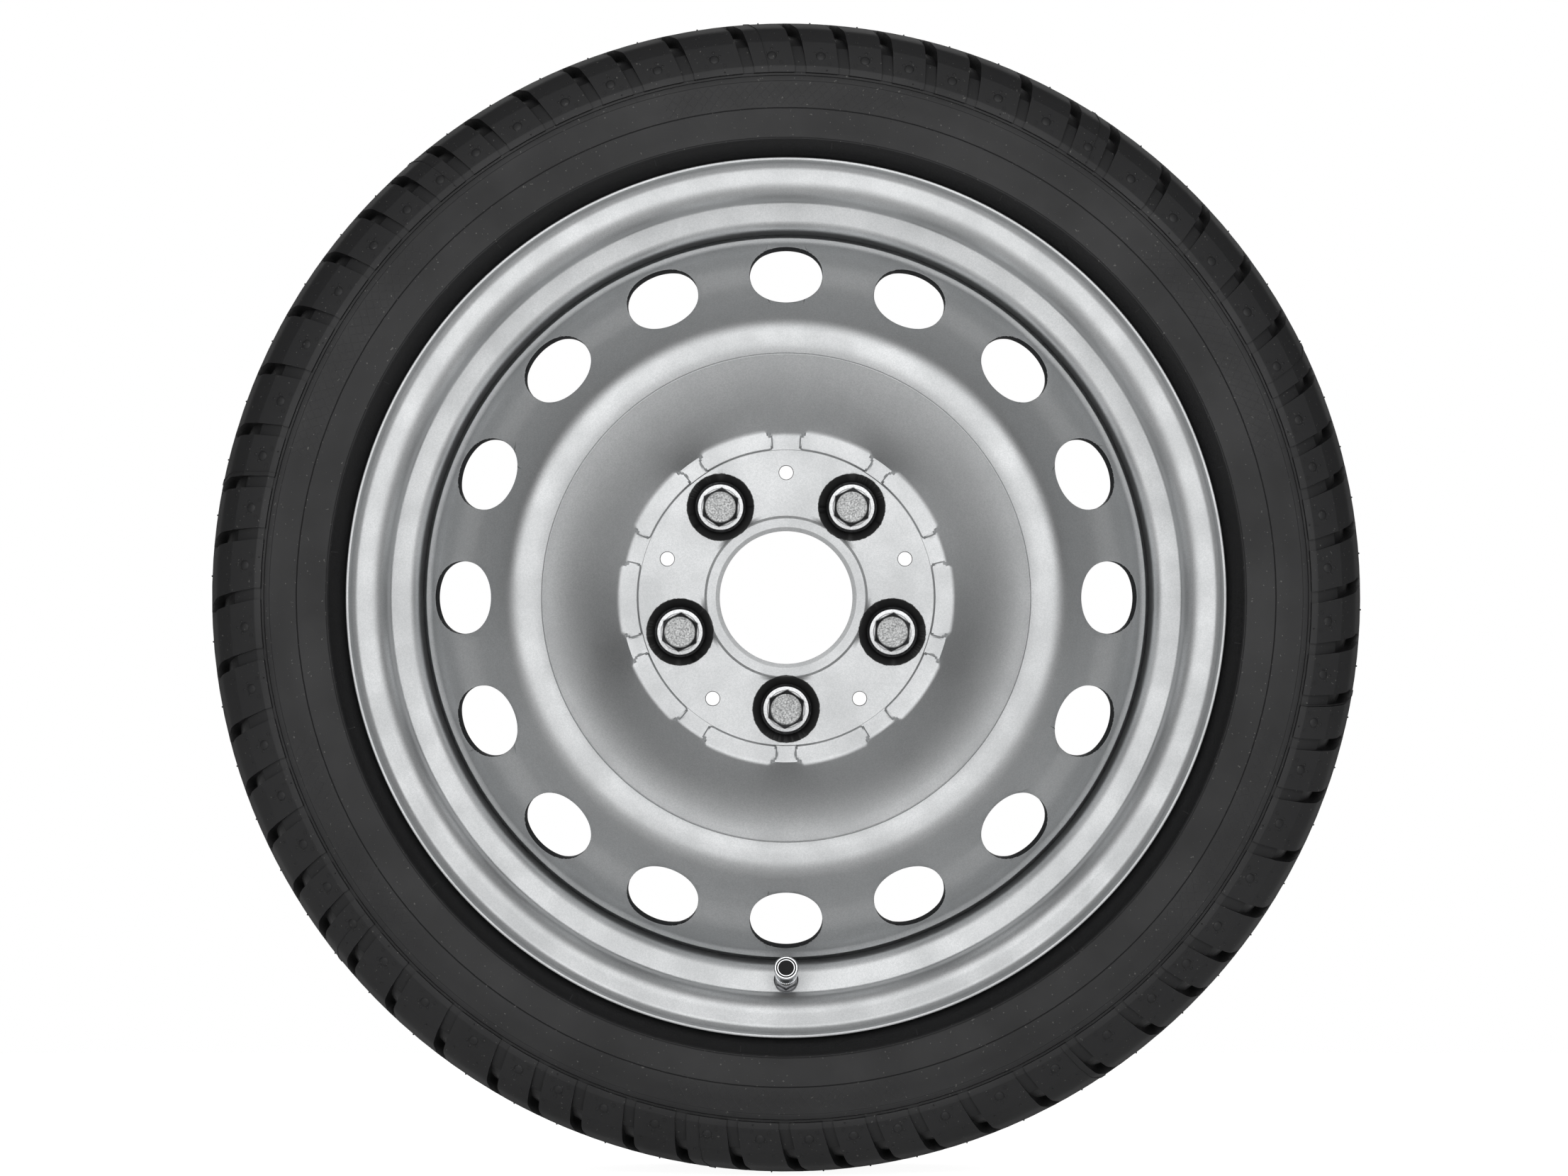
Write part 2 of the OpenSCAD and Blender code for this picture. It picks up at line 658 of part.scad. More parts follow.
module valve_washer() {
    color(zinc) valve_turned([
        [stem_r + fit, washer_gap], [washer_r, washer_gap], [washer_r, washer_gap + washer_t - 0.2],
        [washer_r - 0.2, washer_gap + washer_t], [stem_r + fit, washer_gap + washer_t]]);
}

module valve_nut() {
    color(zinc) on_axle() at_valve() difference() {
        union() {
            translate([0, 0, nut_z]) cylinder(r = nut_flange_r, h = nut_flange_t);
            translate([0, 0, nut_z]) cylinder(r = nut_af / 2 / cos(30), h = nut_flange_t + nut_h, $fn = 6);
        }
        translate([0, 0, nut_z - cut]) cylinder(r = stem_r + fit, h = nut_flange_t + nut_h + 2 * cut);
    }
}

core_floor = plug_z - 7.7;
core_bore = barrel_r - 0.35;

module core_housing() {
    color(brass) valve_turned([
        [pin_r + run, core_floor], [barrel_r, core_floor], [barrel_r, plug_z - 0.5],
        [plug_r, plug_z], [plug_r, plug_z + plug_h], [1, plug_z + plug_h],
        [1, plug_z + 0.3], [core_bore, plug_z - 0.1], [core_bore, core_floor + 0.7],
        [pin_r + run, core_floor + 0.7]]);
}

module core_barrel_seal() {
    color(black_rubber) valve_turned([
        [barrel_r + fit, plug_z - 4.6], [chamber_r - fit - 0.25, plug_z - 4.6],
        [chamber_r - fit, plug_z - 3.2], [chamber_r - fit, plug_z - 2.4],
        [barrel_r + fit, plug_z - 2.4]]);
}

spring_r = (core_bore + pin_r) / 2 + 0.1;
spring_wire_r = 0.15;
spring_turns = 8;
spring_z = core_floor + 0.7 + spring_wire_r + fit;
pin_collar_z = plug_z - 0.8;
spring_h = pin_collar_z - pin_travel - 0.1 - spring_wire_r - spring_z;

// Return spring: a round wire swept along a helix
module core_spring() {
    steps = spring_turns * 14;
    sides = 6;
    rings = [for (i = [0:steps], k = [0:sides - 1])
        let (a = 360 * spring_turns * i / steps, b = 360 * k / sides,
             r = spring_r + spring_wire_r * cos(b))
        [r * cos(a), r * sin(a), spring_z + spring_h * i / steps + spring_wire_r * sin(b)]];
    skin = [for (i = [0:steps - 1], k = [0:sides - 1])
        let (n = (k + 1) % sides)
        [i * sides + k, (i + 1) * sides + k, (i + 1) * sides + n, i * sides + n]];
    first = [for (k = [0:sides - 1]) k];
    last = [for (k = [sides - 1:-1:0]) steps * sides + k];
    color("silver") on_axle() at_valve() polyhedron(rings, concat(skin, [first, last]));
}

// The pin with its collar above and its cup below the barrel
cup_z = core_floor - 1.6;
module core_pin() {
    color(brass) valve_turned([
        [0, cup_z], [core_bore, cup_z], [core_bore, cup_z + 0.9], [pin_r, cup_z + 0.9],
        [pin_r, pin_collar_z], [core_bore - run, pin_collar_z], [core_bore - run, pin_collar_z + 0.5],
        [pin_r, pin_collar_z + 0.5], [pin_r, stem_h - 0.3], [0, stem_h - 0.3]]);
}

module core_pin_seal() {
    color(black_rubber) valve_turned([
        [pin_r + fit, cup_z + 0.9 + fit], [core_bore, cup_z + 0.9 + fit],
        [core_bore - 0.2, core_floor - fit], [pin_r + fit, core_floor - fit]]);
}

cap_top = cap_z + cap_h;
cap_bore_end = cap_top - cap_top_t;
rib_r = cap_r - 0.4;

module valve_cap() {
    color(chrome) on_axle() at_valve() difference() {
        union() {
            translate([0, 0, cap_z]) cylinder(r1 = cap_r - 0.95, r2 = cap_r - 0.8, h = 1.4);
            translate([0, 0, cap_z + 1.2]) linear_extrude(cap_h - 2.5)
                polygon([for (i = [0:2 * cap_ribs - 1])
                    (rib_r - (i % 2) * 0.3) * [cos(180 * i / cap_ribs), sin(180 * i / cap_ribs)]]);
            rotate_extrude() polygon([
                [0, cap_top - 1.8], [cap_r - 0.2, cap_top - 1.8], [cap_r, cap_top - 1.5],
                [cap_r, cap_top - 0.5], [cap_r - 0.5, cap_top], [0, cap_top]]);
        }
        translate([0, 0, cap_z - cut]) cylinder(r = stem_r + run, h = cap_bore_end - cap_z + cut);
        translate([0, 0, cap_top - inlay_d]) cylinder(r = inlay_r, h = inlay_d + cut);
    }
}

// Rubber disc in the cap that seals on the end of the stem
module cap_seal() {
    color(black_rubber) on_axle() at_valve() translate([0, 0, stem_h + fit])
        cylinder(r = stem_r - fit, h = cap_bore_end - stem_h - 2 * fit);
}

module cap_inlay() {
    color("#141415") valve_turned([
        [0, cap_top - inlay_d + fit], [inlay_r - fit, cap_top - inlay_d + fit],
        [inlay_r - fit, cap_top - inlay_d / 2], [0, cap_top - inlay_d / 2]]);
}

module cap_ring() {
    z = cap_top - inlay_d / 2 + fit;
    color(chrome) valve_turned([
        [ring_r - ring_w, z], [ring_r, z], [ring_r, cap_top - 0.05], [ring_r - ring_w, cap_top - 0.05]]);
}

tyre();
rim();
wheel_disc();
weld_seams();
wheel_bolt(0);  // wheel_bolt_1
wheel_bolt(1);  // wheel_bolt_2
wheel_bolt(2);  // wheel_bolt_3
wheel_bolt(3);  // wheel_bolt_4
wheel_bolt(4);  // wheel_bolt_5
valve_stem();
valve_grommet();
valve_washer();
valve_nut();
core_housing();
core_barrel_seal();
core_spring();
core_pin();
core_pin_seal();
valve_cap();
cap_seal();
cap_inlay();
cap_ring();
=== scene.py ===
"""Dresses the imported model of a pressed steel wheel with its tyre, bolts and valve.

Lengths in this file are millimetres until a point goes into a mesh. The wheel's axis is
the Y axis of the scene, its street side looks along -Y, and +Z is up.
"""

import logging
import math
from bisect import bisect_right
from collections.abc import Callable, Sequence
from dataclasses import dataclass, field
from enum import Enum

import bmesh
import bpy
from mathutils import Matrix, Vector


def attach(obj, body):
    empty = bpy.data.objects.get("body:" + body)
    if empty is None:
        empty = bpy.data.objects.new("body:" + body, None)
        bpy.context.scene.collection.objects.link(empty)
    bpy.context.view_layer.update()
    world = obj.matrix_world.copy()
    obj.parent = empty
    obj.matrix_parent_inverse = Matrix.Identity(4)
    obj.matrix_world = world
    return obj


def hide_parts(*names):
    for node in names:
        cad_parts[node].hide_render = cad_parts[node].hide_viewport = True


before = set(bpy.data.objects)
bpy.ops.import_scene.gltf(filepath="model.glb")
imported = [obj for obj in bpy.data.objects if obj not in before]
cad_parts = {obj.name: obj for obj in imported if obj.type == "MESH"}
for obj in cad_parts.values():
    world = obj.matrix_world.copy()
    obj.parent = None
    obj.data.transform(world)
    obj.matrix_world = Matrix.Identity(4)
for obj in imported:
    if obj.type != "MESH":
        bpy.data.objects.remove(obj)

log = logging.getLogger("steel_wheel")

MM = 0.001
AXLE = Vector((0.0, -1.0, 0.0))
SEAM_GAP = 0.004 * MM
STACK_GAP = 0.001 * MM
Corner = tuple[float, float, float]
Point = tuple[float, float]


# ---------------------------------------------------------------- outlines


def rounded(corners: Sequence[Corner], step: float = 9.0) -> list[Point]:
    """Round the corners of an outline as a press tool or a mould does.

    Args:
        corners: Corners (radius, height, bend radius), in order along the outline.
        step: Largest turn between two points of a bend, in degrees.

    Returns:
        The outline's points (radius, height).
    """
    points: list[Point] = []
    for i, (x, y, bend) in enumerate(corners):
        here = Vector((x, y))
        if bend <= 0 or i in (0, len(corners) - 1):
            points.append((x, y))
            continue
        back = (Vector(corners[i - 1][:2]) - here).normalized()
        on = (Vector(corners[i + 1][:2]) - here).normalized()
        turn = math.pi - back.angle(on)
        if turn < 1e-3:
            points.append((x, y))
            continue
        centre = here + (back + on).normalized() * (bend / math.cos(turn / 2))
        first = here + back * (bend * math.tan(turn / 2)) - centre
        side = 1.0 if back.cross(on) < 0 else -1.0
        count = max(2, math.ceil(math.degrees(turn) / step))
        for k in range(count + 1):
            a = side * turn * k / count
            c, s = math.cos(a), math.sin(a)
            points.append(
                (
                    centre.x + first.x * c - first.y * s,
                    centre.y + first.x * s + first.y * c,
                )
            )
    return points


def spaced(points: Sequence[Point], gap: float) -> list[Point]:
    """Add points to an outline until none lie further apart than a gap.

    Args:
        points: The outline.
        gap: Largest distance between neighbours.

    Returns:
        The finer outline.
    """
    out = [points[0]]
    for a, b in zip(points, points[1:]):
        n = max(1, math.ceil(math.dist(a, b) / gap))
        out += [
            (a[0] + (b[0] - a[0]) * k / n, a[1] + (b[1] - a[1]) * k / n)
            for k in range(1, n + 1)
        ]
    return out


def beside(points: Sequence[Point], thickness: Callable[[float, float], float]) -> list[Point]:
    """Offset an outline to its right-hand side, which is the back of a sheet.

    Args:
        points: The outline of the front.
        thickness: The sheet's thickness at a radius and height.

    Returns:
        The outline of the back, in the same order.
    """
    out = []
    for i, (x, y) in enumerate(points):
        a = Vector(points[max(i - 1, 0)])
        b = Vector(points[min(i + 1, len(points) - 1)])
        along = (b - a).normalized()
        t = thickness(x, y)
        out.append((x + along.y * t, y - along.x * t))
    return out


def blend_between(x: float, stops: Sequence[Point]) -> float:
    """Read a value off a line through stops.

    Args:
        x: Where to read.
        stops: Pairs (x, value) with rising x.

    Returns:
        The value at x, held level beyond the first and last stops.
    """
    if x <= stops[0][0]:
        return stops[0][1]
    for (x0, v0), (x1, v1) in zip(stops, stops[1:]):
        if x <= x1:
            return v0 + (v1 - v0) * (x - x0) / (x1 - x0)
    return stops[-1][1]


def smooth(x: float, low: float, high: float) -> float:
    """Rise softly from 0 at low to 1 at high."""
    t = min(1.0, max(0.0, (x - low) / (high - low)))
    return t * t * (3 - 2 * t)


# ---------------------------------------------------------------- the bench


def clear() -> None:
    """Leave edit mode and let go of everything."""
    if bpy.context.object and bpy.context.object.mode != "OBJECT":
        bpy.ops.object.mode_set(mode="OBJECT")
    bpy.ops.object.select_all(action="DESELECT")


def pick(obj: bpy.types.Object) -> None:
    """Select one object alone and make it active."""
    clear()
    obj.hide_viewport = False
    obj.select_set(True)
    bpy.context.view_layer.objects.active = obj


def edit(obj: bpy.types.Object) -> None:
    """Open one object's mesh with nothing selected in it."""
    pick(obj)
    bpy.ops.object.mode_set(mode="EDIT")
    bpy.ops.mesh.select_all(action="DESELECT")


def choose(obj: bpy.types.Object, kind: str, test: Callable) -> int:
    """Select the vertices, edges or faces of the open mesh that pass a test.

    Args:
        obj: The object in edit mode.
        kind: VERT, EDGE or FACE.
        test: Takes the element and says whether it is wanted.

    Returns:
        How many were selected.
    """
    bpy.ops.mesh.select_mode(type=kind)
    bpy.ops.mesh.select_all(action="DESELECT")
    mesh = bmesh.from_edit_mesh(obj.data)
    count = 0
    for part in {"VERT": mesh.verts, "EDGE": mesh.edges, "FACE": mesh.faces}[kind]:
        if test(part):
            part.select_set(True)
            count += 1
    mesh.select_flush_mode()
    bmesh.update_edit_mesh(obj.data)
    return count


def start_line(name: str, places: Sequence[Vector]) -> bpy.types.Object:
    """Draw a line through places by extruding one vertex from each to the next.

    Args:
        name: The new object's name.
        places: The line's places in the scene, in metres.

    Returns:
        The object, open in edit mode with its last vertex selected.
    """
    clear()
    bpy.ops.mesh.primitive_plane_add(size=MM, location=places[0])
    obj = bpy.context.object
    obj.name = obj.data.name = name
    bpy.ops.object.transform_apply(location=True, rotation=False, scale=False)
    bpy.ops.object.mode_set(mode="EDIT")
    bpy.ops.mesh.select_mode(type="VERT")
    bpy.ops.mesh.select_all(action="SELECT")
    bpy.ops.mesh.merge(type="CENTER")
    for a, b in zip(places, places[1:]):
        bpy.ops.mesh.extrude_vertices_move(TRANSFORM_OT_translate={"value": b - a})
    return obj


def spin(degrees: float, steps: int, axis: Vector = AXLE, centre: Vector = Vector()) -> None:
    """Turn the selected line anticlockwise into a skin; the new end stays selected."""
    bpy.ops.mesh.spin(steps=steps, angle=-math.radians(degrees), center=centre, axis=axis)


def close_shell(obj: bpy.types.Object, flip: bool = False) -> None:
    """Join a skin's doubled seams and turn its faces outwards."""
    bpy.ops.mesh.select_all(action="SELECT")
    bpy.ops.mesh.remove_doubles(threshold=SEAM_GAP)
    bpy.ops.mesh.normals_make_consistent(inside=flip)
    clear()


def on_axle(radius: float, height: float, degrees: float = 0.0) -> Vector:
    """Place a radius and an outboard height on the wheel's axis, in metres."""
    a = math.radians(degrees)
    return Vector((radius * math.cos(a), -height, radius * math.sin(a))) * MM


def turned(name: str, outline: Sequence[Point], stations: int) -> bpy.types.Object:
    """Turn a closed outline round the wheel's axis into a solid.

    Args:
        name: The new object's name.
        outline: Points (radius, height); the last is joined to the first.
        stations: Number of steps round the axis.

    Returns:
        The closed solid.
    """
    obj = start_line(name, [on_axle(r, z) for r, z in [*outline, outline[0]]])
    bpy.ops.mesh.select_all(action="SELECT")
    spin(360.0, stations)
    close_shell(obj)
    return obj


def turned_up(name: str, outline: Sequence[Point], stations: int) -> bpy.types.Object:
    """Turn an outline round the Z axis, for a small part that is moved to its place later.

    Args:
        name: The new object's name.
        outline: Points (radius, height), either closed or from axis to axis.
        stations: Number of steps round the axis.

    Returns:
        The closed solid.
    """
    places = [Vector((r, 0.0, z)) * MM for r, z in outline]
    obj = start_line(name, places)
    bpy.ops.mesh.select_all(action="SELECT")
    spin(360.0, stations, axis=Vector((0, 0, 1)))
    close_shell(obj)
    return obj


def apply_modifier(obj: bpy.types.Object, kind: str, **settings: object) -> None:
    """Add a modifier with its settings and apply it."""
    pick(obj)
    modifier = obj.modifiers.new(kind.title(), kind)
    for key, value in settings.items():
        setattr(modifier, key, value)
    bpy.ops.object.modifier_apply(modifier=modifier.name)


def cut(obj: bpy.types.Object, tool: bpy.types.Object, operation: str = "DIFFERENCE") -> None:
    """Use up a tool on a solid with a boolean."""
    apply_modifier(obj, "BOOLEAN", operation=operation, object=tool, solver="MANIFOLD")
    bpy.data.objects.remove(tool)


def copies(obj: bpy.types.Object, places: Sequence[Matrix], name: str) -> list[bpy.types.Object]:
    """Copy a finished piece to places, each copy with its own mesh, and drop the pattern.

    Args:
        obj: The piece that is copied.
        places: One matrix a copy.
        name: Stem of the copies' names, which are numbered from 1.

    Returns:
        The copies, each at the origin with its place in its mesh.
    """
    made = []
    for i, place in enumerate(places, 1):
        twin = obj.copy()
        twin.data = obj.data.copy()
        twin.data.transform(place)
        twin.name = twin.data.name = f"{name}_{i}"
        bpy.context.scene.collection.objects.link(twin)
        made.append(twin)
    bpy.data.objects.remove(obj)
    return made


def joined(name: str, parts: Sequence[bpy.types.Object]) -> bpy.types.Object:
    """Join pieces into one object under a new name."""
    pick(parts[0])
    for part in parts:
        part.select_set(True)
    bpy.context.view_layer.objects.active = parts[0]
    bpy.ops.object.join()
    parts[0].name = parts[0].data.name = name
    return parts[0]


def soften(obj: bpy.types.Object, degrees: float = 32.0) -> None:
    """Shade smooth wherever faces meet at less than an angle."""
    pick(obj)
    bpy.ops.object.shade_smooth_by_angle(angle=math.radians(degrees))


def turn_matrix(degrees: float) -> Matrix:
    """Turn anticlockwise about the wheel's axis, as seen from the street."""
    return Matrix.Rotation(math.radians(degrees), 4, AXLE)


def facing(axis: Vector) -> Matrix:
    """Turn a part that stands on Z so that it stands along an axis."""
    return axis.to_track_quat("Z", "Y").to_matrix().to_4x4()


# ---------------------------------------------------------------- finishes


def srgb(code: str) -> tuple[float, float, float, float]:
    """Turn an sRGB hex colour into Blender's linear colour."""
    parts = [int(code[i : i + 2], 16) / 255 for i in (1, 3, 5)]
    line = [c / 12.92 if c <= 0.04045 else ((c + 0.055) / 1.055) ** 2.4 for c in parts]
    return (*line, 1.0)


def add_node(
    tree: bpy.types.NodeTree, kind: str, inputs: dict | None = None, **settings: object
) -> bpy.types.Node:
    """Add one node with its settings, values and links.

    Args:
        tree: The material's or the world's node tree.
        kind: The node's type name after ShaderNode.
        inputs: Values or output sockets by input name or number.
        **settings: The node's own properties.

    Returns:
        The node.
    """
    node = tree.nodes.new("ShaderNode" + kind)
    for key, value in settings.items():
        setattr(node, key, value)
    for key, value in (inputs or {}).items():
        if isinstance(value, bpy.types.NodeSocket):
            tree.links.new(value, node.inputs[key])
        else:
            node.inputs[key].default_value = value
    return node


def per_mm(size: float) -> float:
    """Texture scale on Object coordinates for a feature of a size in millimetres."""
    return 1.0 / (size * MM)


@dataclass(frozen=True)
class Finish:
    """A surface as it is made: its colours, gloss and the grain that it shows."""

    name: str
    colour: str
    second: str
    roughness: float
    metallic: float = 0.0
    grain: float = 1.0
    bump: float = 0.02
    coat: float = 0.0
    coat_roughness: float = 0.1
    spread: float = 0.05
    gloss: float = 0.5

    def start(
        self,
    ) -> tuple[bpy.types.Material, bpy.types.NodeTree, bpy.types.Node, bpy.types.Node]:
        """Make the material with an empty shader.

        Returns:
            The material, its tree, its Principled shader and its Object coordinates.
        """
        material = bpy.data.materials.new(self.name)
        material.use_nodes = True
        material.diffuse_color = srgb(self.colour)
        tree = material.node_tree
        tree.nodes.clear()
        shader = add_node(
            tree,
            "BsdfPrincipled",
            {
                "Base Color": srgb(self.colour),
                "Metallic": self.metallic,
                "Roughness": self.roughness,
                "Specular IOR Level": self.gloss,
                "Coat Weight": self.coat,
                "Coat Roughness": self.coat_roughness,
            },
        )
        add_node(tree, "OutputMaterial", {"Surface": shader.outputs[0]})
        return material, tree, shader, add_node(tree, "TexCoord")

    def mottle(
        self,
        tree: bpy.types.NodeTree,
        place: bpy.types.NodeSocket,
        size: float,
        low: float,
        high: float,
        detail: float = 3.0,
    ) -> bpy.types.NodeSocket:
        """Make a soft noise between 0 and 1.

        Args:
            tree: The material's tree.
            place: Object coordinates.
            size: Size of its features in millimetres.
            low: Noise value that becomes 0.
            high: Noise value that becomes 1.
            detail: The noise's detail.

        Returns:
            The noise's output.
        """
        noise = add_node(
            tree, "TexNoise", {"Vector": place, "Scale": per_mm(size), "Detail": detail}
        )
        ramp = add_node(tree, "MapRange", {0: noise.outputs[0], 1: low, 2: high})
        return ramp.outputs[0]

    def mix(
        self, tree: bpy.types.NodeTree, share: bpy.types.NodeSocket, a: object, b: object
    ) -> bpy.types.NodeSocket:
        """Mix two colours by a share."""
        node = add_node(tree, "Mix", {"Factor": share, 6: a, 7: b}, data_type="RGBA")
        return node.outputs[2]

    def tint(
        self,
        tree: bpy.types.NodeTree,
        share: bpy.types.NodeSocket,
        most: float,
        base: bpy.types.NodeSocket,
        code: str,
    ) -> bpy.types.NodeSocket:
        """Lay a second colour thinly over a first.

        Args:
            tree: The material's tree.
            share: Where the second colour lies, from 0 to 1.
            most: How much of it shows where it lies.
            base: The first colour.
            code: The second colour.

        Returns:
            The mixed colour.
        """
        thin = add_node(tree, "Math", {0: share, 1: most}, operation="MULTIPLY").outputs[0]
        return self.mix(tree, thin, base, srgb(code))

    def vary_roughness(
        self, tree: bpy.types.NodeTree, shader: bpy.types.Node, share: bpy.types.NodeSocket
    ) -> None:
        """Let the roughness swing about its mean as a pattern goes from 0 to 1."""
        low, high = self.roughness - self.spread, self.roughness + self.spread
        rough = add_node(tree, "MapRange", {0: share, 3: low, 4: high})
        tree.links.new(rough.outputs[0], shader.inputs["Roughness"])

    def raise_grain(
        self, tree: bpy.types.NodeTree, shader: bpy.types.Node, height: bpy.types.NodeSocket
    ) -> None:
        """Let a pattern stand out of the surface by the finish's bump."""
        bump = add_node(
            tree, "Bump", {"Height": height, "Strength": 1.0, "Distance": self.bump * MM}
        )
        tree.links.new(bump.outputs[0], shader.inputs["Normal"])

    def make(self) -> bpy.types.Material:
        """Make the plain kind: two colours in a fine grain that is also felt as a bump.

        Returns:
            The material.
        """
        material, tree, shader, place = self.start()
        grain = self.mottle(tree, place.outputs["Object"], self.grain, 0.3, 0.7)
        colour = self.mix(tree, grain, srgb(self.colour), srgb(self.second))
        tree.links.new(colour, shader.inputs["Base Color"])
        self.vary_roughness(tree, shader, grain)
        self.raise_grain(tree, shader, grain)
        return material


@dataclass(frozen=True)
class WheelPaint(Finish):
    """Two-coat silver wheel enamel: aluminium flake under a thin clear coat.

    The flake gives a fine bright grain and a wide soft highlight. In the five bolt seats
    the silver is rubbed away down to the black primer, with a ragged edge.
    """

    primer: str = "#101011"
    haze: str = "#b4b6b7"
    seats: int = 5
    seat_circle: float = 56.0
    seat_radius: float = 16.95
    first_seat: float = -90.0
    hub_ring: float = 41.2
    pad_front: float = -61.2

    def make(self) -> bpy.types.Material:
        """Make the paint with its worn seats.

        Returns:
            The material.
        """
        material, tree, shader, place = self.start()
        spot = place.outputs["Object"]
        # Flake: cells of 0.45 mm, drawn coarser than real flake so that a photograph shows them
        flake = add_node(tree, "TexVoronoi", {"Vector": spot, "Scale": per_mm(self.grain)})
        sparkle = add_node(tree, "SeparateColor", {0: flake.outputs["Color"]})
        cloud = self.mottle(tree, spot, 26.0, 0.35, 0.65)
        silver = self.mix(tree, sparkle.outputs[0], srgb(self.colour), srgb(self.second))
        silver = self.tint(tree, cloud, 0.25, silver, self.haze)
        black = self.seat_mask(tree, spot)
        colour = self.mix(tree, black, silver, srgb(self.primer))
        tree.links.new(colour, shader.inputs["Base Color"])
        metal = add_node(tree, "MapRange", {0: black, 3: self.metallic, 4: 0.0})
        tree.links.new(metal.outputs[0], shader.inputs["Metallic"])
        self.vary_roughness(tree, shader, cloud)
        # Orange peel of the sprayed clear coat, in ripples of 1.1 mm
        peel = add_node(
            tree, "TexNoise", {"Vector": spot, "Scale": per_mm(1.1), "Detail": 2.0}
        )
        height = add_node(
            tree,
            "Math",
            {0: sparkle.outputs[1], 1: 0.35, 2: peel.outputs[0]},
            operation="MULTIPLY_ADD",
        )
        self.raise_grain(tree, shader, height.outputs[0])
        return material

    def seat_mask(
        self, tree: bpy.types.NodeTree, spot: bpy.types.NodeSocket
    ) -> bpy.types.NodeSocket:
        """Find the worn bolt seats.

        Args:
            tree: The material's tree.
            spot: Object coordinates.

        Returns:
            1 where the primer shows and 0 on the silver.
        """
        flat = add_node(
            tree, "VectorMath", {0: spot, 1: (1.0, 0.0, 1.0)}, operation="MULTIPLY"
        ).outputs[0]
        nearest = None
        for i in range(self.seats):
            turn = self.first_seat + 360 / self.seats * i
            gap = add_node(
                tree,
                "VectorMath",
                {0: flat, 1: on_axle(self.seat_circle, 0.0, turn)},
                operation="DISTANCE",
            ).outputs["Value"]
            if nearest is None:
                nearest = gap
            else:
                nearest = add_node(
                    tree, "Math", {0: nearest, 1: gap}, operation="MINIMUM"
                ).outputs[0]
        # Chips: a 2.2 mm noise moves the edge by up to 0.65 mm either way
        ragged = add_node(
            tree,
            "TexNoise",
            {"Vector": spot, "Scale": per_mm(2.2), "Detail": 5.0, "Roughness": 0.7},
        )
        wobble = add_node(
            tree,
            "Math",
            {0: ragged.outputs[0], 1: -1.3 * MM, 2: 0.65 * MM},
            operation="MULTIPLY_ADD",
        )
        edge = add_node(
            tree, "Math", {0: nearest, 1: wobble.outputs[0]}, operation="ADD"
        ).outputs[0]
        outer, inner = (self.seat_radius + 0.12) * MM, (self.seat_radius - 0.12) * MM
        mask = add_node(tree, "MapRange", {0: edge, 1: outer, 2: inner})
        # A darker band beside each seat, along the ring round the bore, fading away from the seat
        radius = add_node(tree, "VectorMath", {0: flat}, operation="LENGTH").outputs["Value"]
        off = add_node(
            tree, "Math", {0: radius, 1: self.hub_ring * MM}, operation="SUBTRACT"
        )
        off = add_node(tree, "Math", {0: off.outputs[0]}, operation="ABSOLUTE")
        ring = add_node(tree, "MapRange", {0: off.outputs[0], 1: 1.9 * MM, 2: 0.3 * MM})
        close = add_node(tree, "MapRange", {0: edge, 1: 21.5 * MM, 2: 17.0 * MM})
        ring_dark = add_node(
            tree, "Math", {0: ring.outputs[0], 1: close.outputs[0]}, operation="MULTIPLY"
        )
        ring_dark = add_node(tree, "Math", {0: ring_dark.outputs[0], 1: 0.75}, operation="MULTIPLY")
        worn = add_node(
            tree, "Math", {0: mask.outputs[0], 1: ring_dark.outputs[0]}, operation="MAXIMUM"
        )
        # The primer is only near the pad's height, so the rest of the wheel keeps its silver
        depth = add_node(tree, "SeparateXYZ", {0: spot}).outputs[1]
        near = add_node(
            tree, "Math", {0: depth, 1: self.pad_front * MM}, operation="LESS_THAN"
        )
        return add_node(
            tree, "Math", {0: worn.outputs[0], 1: near.outputs[0]}, operation="MULTIPLY"
        ).outputs[0]


